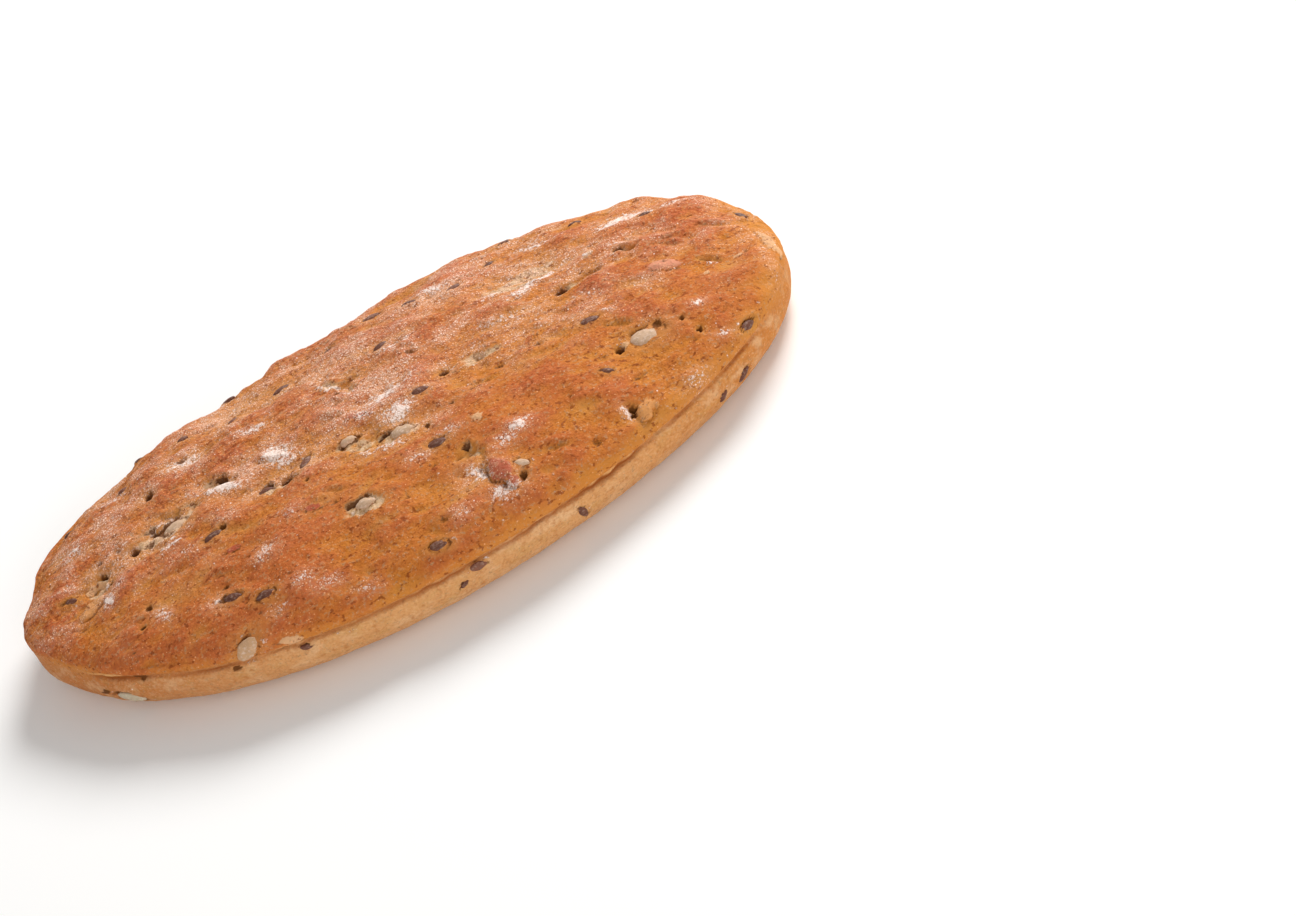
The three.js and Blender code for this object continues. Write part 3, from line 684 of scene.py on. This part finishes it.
# the deeper undulations, and thin valleys in the crust, keep their golden colour
def sinkHollows(bread, deep=-0.75):
    for x, y, length, width, turn, rise in undulations:
        if rise < deep:
            near, u, v = pointsNear(bread, x, y, turn, length)
            away = (2 * u / length) ** 2 + (2 * v / width) ** 2
            raiseTo(bread, "hollow", near, 0.55 * np.exp(-1.4 * away) * (1 + bread.streak[near]))
    for x, y, length, turn, chance in smallMarks("valleys"):
        near, u, v = pointsNear(bread, x, y, turn, length)
        valley = mound(2.2 * u, v, length, 0.9 + 1.6 * chance)
        bread.relief[near] -= reliefSettings["valleyDepth"] * (0.4 + 0.6 * chance) * valley
        raiseTo(bread, "hollow", near, 0.7 * valley)


# skins and flakes with a ragged rim, a groove along one side and painted shadow along that edge
def laySkins(bread):
    skins = [(kind, crustDirection(x, y), *form) for kind, x, y, *form in flakes]
    skins += [(kind, frontDirection(x, height), *form) for kind, x, height, *form in frontFlakes]
    for kind, place, length, width, turn, height in skins:
        near, u, v = pointsAround(bread, place, turn, length)
        away = (2 * u / length) ** 2 + (2 * v / width) ** 2
        away = np.maximum(away + 0.9 * bread.streak[near] + 0.6 * bread.knob[near], 0)
        flake = smoothStep(away, 1.4, 0.7)
        # painted shadow along the rim on the grooved side
        edge = bell(np.sqrt(away) - 1.3, 0.22) * smoothStep(v / width, 0.1, -0.4)
        bread.relief[near] += height * flake
        bread.relief[near] -= 0.5 * height * bell(np.sqrt(away) - 1.45, 0.22) * (v < 0)
        raiseTo(bread, kind, near, flake)
        raiseTo(bread, "dark", near, (0.6 if kind == "red" else 0.3) * edge)


def strewMarks(bread):
    settings = reliefSettings
    for x, y, width, turn, chance in smallMarks("pores"):
        near, u, v = pointsNear(bread, x, y, turn, 3)
        pore = mound(u, v, width, width * 0.6)
        bread.relief[near] -= settings["poreDepth"] * (0.3 + chance) * pore
        # painted shade in the deeper pores
        raiseTo(bread, "dark", near, 0.7 * chance ** 3 * pore)
    for x, y, width, turn, chance in smallMarks("crumbs"):
        near, u, v = pointsNear(bread, x, y, turn, 5)
        bread.relief[near] += settings["crumbHeight"] * (0.4 + chance) * mound(u, v, width, width * 0.6)
    for x, y, length, turn, chance in smallMarks("dents"):
        near, u, v = pointsNear(bread, x, y, turn, length + 2)
        dent = mound(2 * u, v, length, 0.5 + 0.9 * chance)
        bread.relief[near] -= settings["dentDepth"] * (0.3 + chance) * dent
        raiseTo(bread, "hollow", near, 0.45 * chance * dent)


# torn skin: a lifted edge with a shallow scar in front of it
def tearSkin(bread):
    for x, y, length, turn, chance in smallMarks("tears"):
        near, u, v = pointsNear(bread, x, y, turn, length + 2)
        v = v - 0.12 * u * u / length
        along = np.exp(-(2 * u / length) ** 4)
        edge = smoothStep(v, -0.35, 0.1) * smoothStep(v, 2.2, 0.2) * along
        scar = bell(v + 0.8, 0.55) * along
        bread.relief[near] += reliefSettings["tearHeight"] * (0.4 + chance) * (edge - 0.8 * scar)
        # painted shadow just in front of the lifted edge
        raiseTo(bread, "dark", near, 0.28 * chance * bell(v + 0.45, 0.3) * along)
        raiseTo(bread, "hollow", near, 0.4 * scar)
        raiseTo(bread, "pale", near, 0.3 * chance * bell(v, 0.3) * along)


# how far from a seed's middle, where its own edge is at 1
socketForm = {"lap": 0.95, "gap": 1.08, "calm": 1.5, "rim": 1.65, "golden": 2.0}


# every seed lies in a socket of its own, and the crust's relief neither buries nor bares it
def sinkSockets(bread):
    settings = reliefSettings
    for kind, place, turn, size in allSeeds():
        form = seedKinds[kind]
        near, u, v = pointsAround(bread, place, turn, form["length"] * 1.8)
        knob, streak = bread.knob[near], bread.streak[near]
        u = u / (form["length"] * size / 2)
        v = v / (form["width"] * size / 2)
        away = np.hypot(u, v) + 0.18 * streak
        gap = bell(away - socketForm["gap"], 0.15) * smoothStep(knob + 0.3 * v, -0.35, 0.25)
        rim = bell(away - socketForm["rim"], 0.35)
        lap = bell(away - socketForm["lap"], 0.2) * smoothStep(knob - 0.2 * v, 0.1, 0.4)
        bread.relief[near] *= 1 - 0.9 * np.exp(-(away / socketForm["calm"]) ** 4)
        bread.relief[near] += (settings["socketRim"] * rim - settings["socketDepth"] * gap
                               + settings["lap"] * lap)
        # painted shade in the gap round the seed
        raiseTo(bread, "dark", near, 0.6 * gap)
        raiseTo(bread, "hollow", near, 0.7 * np.exp(-(away / socketForm["golden"]) ** 4))
        raiseTo(bread, "flour", near, 0.4 * rim * smoothStep(streak, 0.0, 0.3))


flourSharpness = {"patch": 1.7, "veil": 1.6}  # how fast flour thins out from the middle of its row


def dustFlour(bread):
    sharp = flourSharpness["patch"]
    for x, y, length, width, turn, amount in flourPatches:
        near, u, v = pointsNear(bread, x, y, turn, length * 1.4)
        patch = mound(sharp * u, sharp * v, length, width)
        raiseTo(bread, "flour", near, amount * patch)
        raiseTo(bread, "veil", near, amount * np.sqrt(patch))
    sharp = flourSharpness["veil"]
    for x, y, length, width, turn, amount in flourVeils:
        near, u, v = pointsNear(bread, x, y, turn, length * 1.5)
        raiseTo(bread, "veil", near, amount * mound(sharp * u, sharp * v, length, width))


# places and widths in degrees of latitude, of the painted highlight on the lip and the painted shadow under
# it among them; where the crease is lifted, in mm along X
lipForm = {
    "wander": 3.6, "fray": 2.0, "lipHighlightAt": 0.9, "lipHighlightWidth": 0.8, "skinFrom": 13, "skinFull": 2,
    "creaseAt": -2.0, "creaseShadowWidth": 1.7, "undercutAt": -2.6, "undercutWidth": 1.6,
    "liftFrom": -60, "liftFull": -85, "liftReach": 9, "footBlend": 10,
}


# the crust ends in a thin skin over the band, along a ragged line that runs out at the tips
def endCrust(bread):
    settings, form, latitude, masks = reliefSettings, lipForm, bread.latitude, bread.masks
    wander, fray = (grain(bread.plain * [1, 1, 0], *lipGrains[name]) for name in ("wander", "fray"))
    side = creaseSide(bread.angle)
    foot = rollShape["footLatitude"]
    ragged = latitude + form["wander"] * wander + form["fray"] * fray
    skin = smoothStep(ragged, -0.9, 0.7) * smoothStep(ragged, form["skinFrom"], form["skinFull"])
    under = side * bell(ragged - form["undercutAt"], form["undercutWidth"])
    bread.relief *= 1 - 0.6 * bell(latitude, 2.2) * side
    bread.relief += settings["lipSwell"] * skin * side * (0.85 + 0.9 * wander)
    bread.relief *= smoothStep(latitude, foot, foot + form["footBlend"])
    bread.relief -= settings["undercut"] * under * (0.8 + 0.9 * wander)
    lifted = smoothStep(bread.plain[:, 0], form["liftFrom"], form["liftFull"])
    lift = settings["creaseWave"] * wander + settings["creaseLift"] * lifted
    bread.rise = lift * bell(latitude, form["liftReach"])

    soft = 0.7 + 8 * (1 - side)
    tipLean = 11 * np.cos(bread.angle)
    risen = bread.relief + settings["settling"] * bread.onCrust + 0.4 * bread.broad
    masks["crust"] = smoothStep(ragged + 1.5 * (1 - side), -soft, soft)
    masks["edge"] = smoothStep(latitude + 8 * bread.lump + 5 * bread.knob - tipLean, 21, 1)
    # painted shadow in the crease, under the crust's lip
    masks["crease"] = side * bell(ragged - form["creaseAt"], form["creaseShadowWidth"]) * (0.65 + 1.5 * wander)
    # a thin painted highlight along the lip's edge
    masks["lip"] = side * bell(ragged - form["lipHighlightAt"], form["lipHighlightWidth"])
    masks["lip"] *= smoothStep(wander + 0.5 * bread.knob, -0.25, 0.25)
    # painted light: the band grows paler towards its foot, as if lit from the white floor
    masks["foot"] = smoothStep(latitude, -16, -34)
    masks["dust"] = bread.busy * (1 - 0.4 * smoothStep(bread.plain[:, 0], 50, 80))
    masks["height"] = np.clip(0.5 + risen * 0.5, 0, 1)


# the finished surface and, for the finish, what each point of it is
def shapeBread(direction):
    bread = startSurface(direction)
    for work in (roughen, placeMarks, cutCracks, cutPits, sinkHollows, laySkins, strewMarks, tearSkin,
                 sinkSockets, dustFlour, endCrust):
        work(bread)
    points = bread.base + bread.outward * bread.relief[:, None]
    points[:, 2] += bread.rise
    return points, bread.masks


def makeBread():
    bm = bmesh.new()
    rows = breadRows["rows"]
    girths = girthAngles(breadRows)
    bmesh.ops.create_uvsphere(bm, u_segments=len(girths), v_segments=rows, radius=1)
    bmesh.ops.rotate(bm, verts=bm.verts, matrix=Matrix.Rotation(math.pi / 2, 3, "Y"))
    mesh = bpy.data.meshes.new("bread")
    bm.to_mesh(mesh)
    bm.free()
    ball = np.zeros(len(mesh.vertices) * 3)
    mesh.vertices.foreach_get("co", ball)
    ball = ball.reshape(-1, 3)
    row = np.rint(np.arccos(np.clip(ball[:, 0], -1, 1)) / math.pi * rows).astype(int)
    column = np.rint(np.arctan2(ball[:, 2], ball[:, 1]) / (2 * math.pi) * len(girths)).astype(int)
    tip = tipAngles(breadRows)[row] * degree
    girth = girths[column % len(girths)] * degree
    direction = np.stack([np.cos(tip), np.sin(tip) * np.cos(girth), np.sin(tip) * np.sin(girth)], 1)
    points, masks = shapeBread(direction)
    low, high = points.min(0), points.max(0)
    settle = Vector(((cadLow + cadHigh) / 2).xy).to_3d() / mm - Vector(((low + high) / 2)[:2]).to_3d()
    points = (points + np.array(settle)) * mm
    mesh.vertices.foreach_set("co", points.ravel())
    for name, values in masks.items():
        layer = mesh.attributes.new(name, "FLOAT", "POINT")
        layer.data.foreach_set("value", values)
    mesh.polygons.foreach_set("use_smooth", [True] * len(mesh.polygons))
    mesh.update()
    bread = bpy.data.objects.new("bread", mesh)
    bpy.context.collection.objects.link(bread)
    return bread, settle


# ---- seeds and kernels

seedMesh = {"around": 20, "along": 18, "lumpsPerMm": 0.9, "variety": 90}


# one joined piece for each kind, every seed laid in its own socket
def makeSeeds(kind, settle):
    form = seedKinds[kind]
    rng = random.Random(kind)
    bm = bmesh.new()
    tone = bm.verts.layers.float.new("tone")
    for name, place, turn, size in allSeeds():
        if name != kind:
            continue
        made = bmesh.ops.create_uvsphere(bm, u_segments=seedMesh["around"],
                                         v_segments=seedMesh["along"], radius=0.5)
        bmesh.ops.rotate(bm, verts=made["verts"], matrix=Matrix.Rotation(math.pi / 2, 3, "Y"))
        shade = rng.random()
        for vert in made["verts"]:
            vert.co.y *= 1 - form["point"] * max(0, 2 * vert.co.x) ** 2
            vert[tone] = shade
        bmesh.ops.scale(bm, verts=made["verts"],
                        vec=(form["length"] * size, form["width"] * size, form["thickness"]))
        own = Vector((shade * seedMesh["variety"], 0, 0))  # each seed's own stretch of the noise
        for vert in made["verts"]:
            uneven = noise.noise(vert.co * seedMesh["lumpsPerMm"] + own)
            vert.co += vert.co.normalized() * uneven * form["rough"]
        middle, along, across, up = (Vector(v) for v in spotFrame(place, turn))
        turnTo = Matrix((along, across, up)).transposed()
        move = Matrix.Translation(middle - up * form["sunk"] + settle) @ turnTo.to_4x4()
        bmesh.ops.transform(bm, verts=made["verts"], matrix=Matrix.Scale(mm, 4) @ move)
    for face in bm.faces:
        face.smooth = True
    mesh = bpy.data.meshes.new(kind)
    bm.to_mesh(mesh)
    bm.free()
    piece = bpy.data.objects.new(kind + "s", mesh)
    bpy.context.collection.objects.link(piece)
    return piece


# ---- materials

def startMaterial(name):
    material = bpy.data.materials.new(name)
    material.use_nodes = True
    tree = material.node_tree
    shader = tree.nodes["Principled BSDF"]
    coordinates = addNode(tree, "ShaderNodeTexCoord").outputs["Object"]
    return material, tree, shader, coordinates


def attribute(tree, name):
    return addNode(tree, "ShaderNodeAttribute", {"attribute_name": name}).outputs["Fac"]


def calculate(tree, operation, first, second, clamp=True):
    node = addNode(tree, "ShaderNodeMath", {"operation": operation, "use_clamp": clamp})
    for socket, value in zip(node.inputs, (first, second)):
        if isinstance(value, (int, float)):
            socket.default_value = value
        else:
            tree.links.new(value, socket)
    return node.outputs["Value"]


def times(tree, first, second):
    return calculate(tree, "MULTIPLY", first, second)


def plus(tree, first, second):
    return calculate(tree, "ADD", first, second, False)


def mapRange(tree, value, low, high, toLow=0.0, toHigh=1.0):
    node = addNode(tree, "ShaderNodeMapRange", links={"Value": value},
                   values={"From Min": low, "From Max": high, "To Min": toLow, "To Max": toHigh})
    return node.outputs["Result"]


# noise with bumps of a size in mm, as a factor from 0 to 1 between two limits
def noiseMask(tree, coordinates, size, low, high, detail=2.0, stretch=1.0, offset=0.0):
    mapped = addNode(tree, "ShaderNodeMapping",
                     values={"Scale": (1 / stretch, 1, 1), "Location": (offset, offset, 0)},
                     links={"Vector": coordinates})
    texture = addNode(tree, "ShaderNodeTexNoise",
                      values={"Scale": 1 / (size * mm), "Detail": detail, "Roughness": 0.55},
                      links={"Vector": mapped.outputs["Vector"]})
    return mapRange(tree, texture.outputs["Fac"], low, high)


# round cells of a size in mm
def cellPattern(tree, vector, size):
    return addNode(tree, "ShaderNodeTexVoronoi", values={"Scale": 1 / (size * mm)}, links={"Vector": vector})


# round grains; each cell of the pattern holds one where its own share is under the amount
def grainMask(tree, coordinates, size, radius, amount, offset=0.0):
    mapped = addNode(tree, "ShaderNodeMapping", values={"Location": (offset, offset, 0)},
                     links={"Vector": coordinates})
    cells = cellPattern(tree, mapped.outputs["Vector"], size)
    share = addNode(tree, "ShaderNodeSeparateColor", links={"Color": cells.outputs["Color"]}).outputs["Red"]
    spot = mapRange(tree, cells.outputs["Distance"], radius, radius * 0.5)
    return times(tree, spot, calculate(tree, "LESS_THAN", share, amount))


# an attribute with a ragged, crisp rim: it shows where it and a fine noise together pass the limit
def crispMask(tree, name, fineNoise, limit, most):
    broken = plus(tree, attribute(tree, name), times(tree, fineNoise, 1.1))
    return mapRange(tree, broken, limit + 0.45, limit + 0.85, 0.0, most)


# lays one colour over another where the factor says
def layColour(tree, below, above, factor):
    node = addNode(tree, "ShaderNodeMix", {"data_type": "RGBA"})
    for socket, value in ((node.inputs[0], factor), (node.inputs[6], below), (node.inputs[7], above)):
        if isinstance(value, str):
            socket.default_value = linear(value)
        elif isinstance(value, (int, float)):
            socket.default_value = value
        else:
            tree.links.new(value, socket)
    return node.outputs[2]


# lays the colours of soft marks, each by its own attribute and at most so strongly
def laySoft(tree, colour, finish, **marks):
    for name, most in marks.items():
        colour = layColour(tree, colour, finish[name], times(tree, attribute(tree, name), most))
    return colour


# the same for crisp marks, by limit and strength
def layCrisp(tree, colour, finish, fine, **marks):
    for name, (limit, most) in marks.items():
        colour = layColour(tree, colour, finish[name], crispMask(tree, name, fine, limit, most))
    return colour


def finishShader(tree, shader, colour, finish, height):
    tree.links.new(colour, shader.inputs["Base Color"])
    shader.inputs["Roughness"].default_value = finish["roughness"]
    shader.inputs["Specular IOR Level"].default_value = finish["specular"]
    bump = addNode(tree, "ShaderNodeBump", links={"Height": height},
                   values={"Strength": finish["bump"], "Distance": finish["bumpDepth"] * mm})
    tree.links.new(bump.outputs["Normal"], shader.inputs["Normal"])


# crease, lip and foot are painted shadow, painted highlight and painted light; the darkest tone is painted
# shade with a few dark spots; the glints are partly painted highlights
crustFinish = {
    "golden": "#cb7b2e", "brown": "#be652f", "rose": "#bd603a", "deepBrown": "#863c14", "light": "#e0944f",
    "glint": "#eba873", "whiteGlint": "#fbd9c2", "frost": "#efb592", "speck": "#843c16",
    "hollow": "#cf914a", "edge": "#cf8739", "dark": "#63350f", "crease": "#a05a28", "lip": "#efbe80",
    "flour": "#ffe9dd", "veil": "#e2b094", "crumb": "#e0bf9a", "crumbShade": "#b48a58",
    "pale": "#dfae80", "red": "#ad4f38", "tan": "#dc9a5c", "pink": "#dc977a",
    "band": "#da9f66", "bandLeft": "#c47a43", "bandRight": "#cc803b", "bandPale": "#ecc497",
    "bandBrown": "#b56d33", "bandOlive": "#c09653", "foot": "#e4b384",
    "roughness": 0.7, "specular": 0.08, "bump": 0.8, "bumpDepth": 0.42,  # depth in mm
}

# noises that the crust's colours share: size in mm, low, high, detail, stretch, offset
crustNoises = {
    "patches": (13, 0.4, 0.6, 2, 1.3), "blotches": (4.6, 0.36, 0.66, 3, 1.7, 0.3),
    "mottles": (1.5, 0.3, 0.7, 4, 1.1, 0.9), "fine": (0.8, 0.0, 1.0, 4, 1.2, 0.5),
    "streaks": (2.6, 0.0, 1.0, 3, 2.4, 0.2), "grit": (0.55, 0.0, 1.0, 3, 1.2, 0.35),
    "drifts": (6.5, 0.42, 0.62, 3, 1.4, 0.4), "specks": (1.1, 0.59, 0.68, 2, 1.3, 0.7),
    "pores": (0.5, 0.0, 1.0, 3),
}

# tone, noise, where it starts, where it is full, how strong
crustMottling = [
    ("deepBrown", "mottles", 0.6, 1.0, 0.7), ("light", "mottles", 0.42, 0.0, 0.55),
    ("deepBrown", "grit", 0.48, 0.75, 0.9), ("light", "grit", 0.48, 0.2, 0.7),
]
bandMottling = [
    ("bandPale", "blotches", 0.5, 1.0, 0.45), ("bandOlive", "streaks", 0.52, 0.75, 0.4),
    ("bandBrown", "mottles", 0.6, 1.0, 0.6), ("bandBrown", "grit", 0.5, 0.8, 0.6),
    ("bandPale", "grit", 0.46, 0.2, 0.5),
]

# pale grains, the glints partly painted highlights and partly flour, then loose grains of flour: size in mm,
# radius, least share, greatest share, offset
glintGrains = [(0.6, 0.4, 0.005, 0.9, 0.1), (0.42, 0.42, 0.012, 0.9, 0.3)]
flourGrains = [(0.85, 0.3, 0.0, 0.16, 0.6)]


# golden in the crust's hollows and red-brown on its bumps, deeper towards the -X end
def bakedColour(tree, finish, noises, along, dust):
    browning = plus(tree, attribute(tree, "height"), times(tree, noises["blotches"], 0.4))
    bare = mapRange(tree, dust, 0.0, 1.0, 1.0, 0.2)
    baked = times(tree, bare, mapRange(tree, along, 0.05, -0.06, 0.0, 0.22))
    browning = mapRange(tree, plus(tree, browning, baked), 0.42, 1.02)
    colour = layColour(tree, finish["golden"], finish["brown"], browning)
    rosy = times(tree, times(tree, noises["patches"], browning), mapRange(tree, dust, 0.0, 1.0, 0.4, 1.0))
    colour = layColour(tree, colour, finish["rose"], rosy)
    coarse = mapRange(tree, dust, 0.0, 1.0, 0.45, 1.0)
    for tone, name, low, high, most in crustMottling:
        share = times(tree, mapRange(tree, noises[name], low, high, 0.0, most), coarse)
        colour = layColour(tree, colour, finish[tone], share)
    colour = laySoft(tree, colour, finish, edge=0.75, hollow=0.75)
    colour = layCrisp(tree, colour, finish, noises["fine"],
                      red=(0.25, 0.85), tan=(0.2, 0.85), pink=(0.2, 0.7))
    # a thin painted highlight along the lip's edge
    return laySoft(tree, colour, finish, lip=0.8)


# the side band is paler, and tan where it browned a little
def bandColour(tree, finish, noises, along):
    colour = layColour(tree, finish["bandLeft"], finish["band"], mapRange(tree, along, -0.09, -0.045))
    colour = layColour(tree, colour, finish["bandRight"], mapRange(tree, along, 0.035, 0.085))
    for tone, name, low, high, most in bandMottling:
        colour = layColour(tree, colour, finish[tone], mapRange(tree, noises[name], low, high, 0.0, most))
    # painted light: paler towards the foot, as if lit from the white floor
    return laySoft(tree, colour, finish, foot=0.8)


# a thin veil, darker specks, and grains in drifts: flour, with painted glints of light among them
def dustAndGlintColour(tree, colour, finish, noises, dust, coordinates):
    shown = times(tree, noises["drifts"], mapRange(tree, dust, 0.0, 1.0, 0.05, 0.72))
    thick = times(tree, attribute(tree, "veil"), mapRange(tree, noises["drifts"], 0.0, 1.0, 0.6, 1.2))
    shown = calculate(tree, "MAXIMUM", shown, thick)
    speckled = mapRange(tree, attribute(tree, "crust"), 0.0, 1.0, 0.12, 0.75)
    for tone, amount, share in (
            ("veil", shown, mapRange(tree, noises["fine"], 0.35, 0.6, 0.1, 0.55)),
            ("speck", noises["specks"], speckled),
            ("frost", shown, mapRange(tree, noises["grit"], 0.5, 0.62, 0.0, 0.55))):
        colour = layColour(tree, colour, finish[tone], times(tree, amount, share))
    clumped = times(tree, shown, mapRange(tree, noises["mottles"], 0.1, 0.8, 0.4, 1.3))
    glint = layColour(tree, finish["glint"], finish["whiteGlint"], mapRange(tree, shown, 0.1, 0.6))
    for tone, rows in ((glint, glintGrains), (finish["flour"], flourGrains)):
        for size, radius, least, most, offset in rows:
            share = mapRange(tree, clumped, 0.0, 1.0, least, most)
            grains = grainMask(tree, coordinates, size, radius, share, offset)
            colour = layColour(tree, colour, tone, times(tree, grains, 0.85))
    return colour


# patches of flour: grains that lie apart at the rim of a patch and run together in its middle
def flourCover(tree, noises, coordinates):
    amount = plus(tree, attribute(tree, "flour"), times(tree, noises["streaks"], 1.1))
    amount = mapRange(tree, plus(tree, amount, noises["fine"]), 1.2, 2.0, 0.0, 0.8)
    layers = []
    for size in (0.5, 1.2):
        apart = cellPattern(tree, coordinates, size).outputs["Distance"]
        merged = mapRange(tree, calculate(tree, "SUBTRACT", apart, amount, False), 0.08, -0.3)
        layers.append(times(tree, merged, 0.95))
    return calculate(tree, "MAXIMUM", *layers)


# pores and mottles of the crust, raised where flour lies
def crustHeight(tree, noises, dust, flour):
    rough = plus(tree, noises["pores"], times(tree, noises["mottles"], 0.9))
    rough = plus(tree, rough, times(tree, noises["fine"], 1.2))
    rough = calculate(tree, "MULTIPLY", rough, mapRange(tree, dust, 0.0, 1.0, 0.6, 0.9), False)
    return plus(tree, rough, times(tree, flour, 0.5))


# baked wheat crust over a paler side band, matt and floury
def crustMaterial(finish):
    material, tree, shader, coordinates = startMaterial("bakedCrust")
    noises = {name: noiseMask(tree, coordinates, *form) for name, form in crustNoises.items()}
    fine, dust = noises["fine"], attribute(tree, "dust")
    along = addNode(tree, "ShaderNodeSeparateXYZ", links={"Vector": coordinates}).outputs["X"]
    baked = bakedColour(tree, finish, noises, along, dust)
    colour = layColour(tree, bandColour(tree, finish, noises, along), baked, attribute(tree, "crust"))
    colour = layCrisp(tree, colour, finish, fine, pale=(0.2, 0.85))
    crumb = layColour(tree, finish["crumb"], finish["crumbShade"], mapRange(tree, fine, 0.45, 0.7))
    colour = layColour(tree, colour, crumb, crispMask(tree, "crumb", fine, 0.15, 0.9))  # at torn places
    colour = dustAndGlintColour(tree, colour, finish, noises, dust, coordinates)
    # painted shadow in the crease under the crust's lip
    colour = laySoft(tree, colour, finish, crease=0.85)
    flour = flourCover(tree, noises, coordinates)
    colour = layColour(tree, colour, finish["flour"], flour)
    # painted shade in crack holes, pits, pores, seed gaps and under lifted edges, and a few dark spots
    colour = layCrisp(tree, colour, finish, fine, dark=(0.22, 0.9))
    finishShader(tree, shader, colour, finish, crustHeight(tree, noises, dust, flour))
    return material


# for each kind two tones, the tone where it is worn, how much flour clings to it, and its roughness
seedFinishes = {
    "linseed": ("#653a2a", "#84543f", "#4d2c22", 0.22, 0.48),
    "kernel": ("#d9b698", "#c6a384", "#ac8b6a", 0.6, 0.65),
    "oat": ("#d8b08a", "#c69a72", "#ac8b6a", 0.6, 0.8),
    "pumpkinSeed": ("#c9bea4", "#b3a686", "#ac8b6a", 0.6, 0.5),
}
seedFlour = "#e8cdb8"


# smooth seed coats with worn places and a little flour
def seedMaterial(kind):
    base, other, wornTone, dusted, roughness = seedFinishes[kind]
    material, tree, shader, coordinates = startMaterial(kind + "Coat")
    worn = times(tree, noiseMask(tree, coordinates, 1.0, 0.35, 0.75, 3), 0.6)
    floury = noiseMask(tree, coordinates, 0.6, 0.5, 0.7, 3, 1.4, 0.6)
    colour = layColour(tree, base, other, attribute(tree, "tone"))
    colour = layColour(tree, colour, wornTone, worn)
    colour = layColour(tree, colour, seedFlour, times(tree, floury, dusted))
    finish = {"roughness": roughness, "specular": 0.25, "bump": 0.5, "bumpDepth": 0.15}
    finishShader(tree, shader, colour, finish, plus(tree, worn, floury))
    return material


bread, settle = makeBread()
makeCamera(cameraSettings, settle)
bread.data.materials.append(crustMaterial(crustFinish))
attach(bread, "root")
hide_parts("flatbread")
print("bread made", len(bread.data.polygons), "faces, settled by", tuple(round(v, 3) for v in settle), "mm")

seedSlots = {"linseed": "linseed", "kernel": "kernel", "oat": "kernel", "pumpkinSeed": "pumpkin_seed"}
for kind, slot in seedSlots.items():
    piece = makeSeeds(kind, settle)
    piece.data.materials.append(seedMaterial(kind))
    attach(piece, "root")
    print(kind, "made", len(piece.data.polygons), "faces")
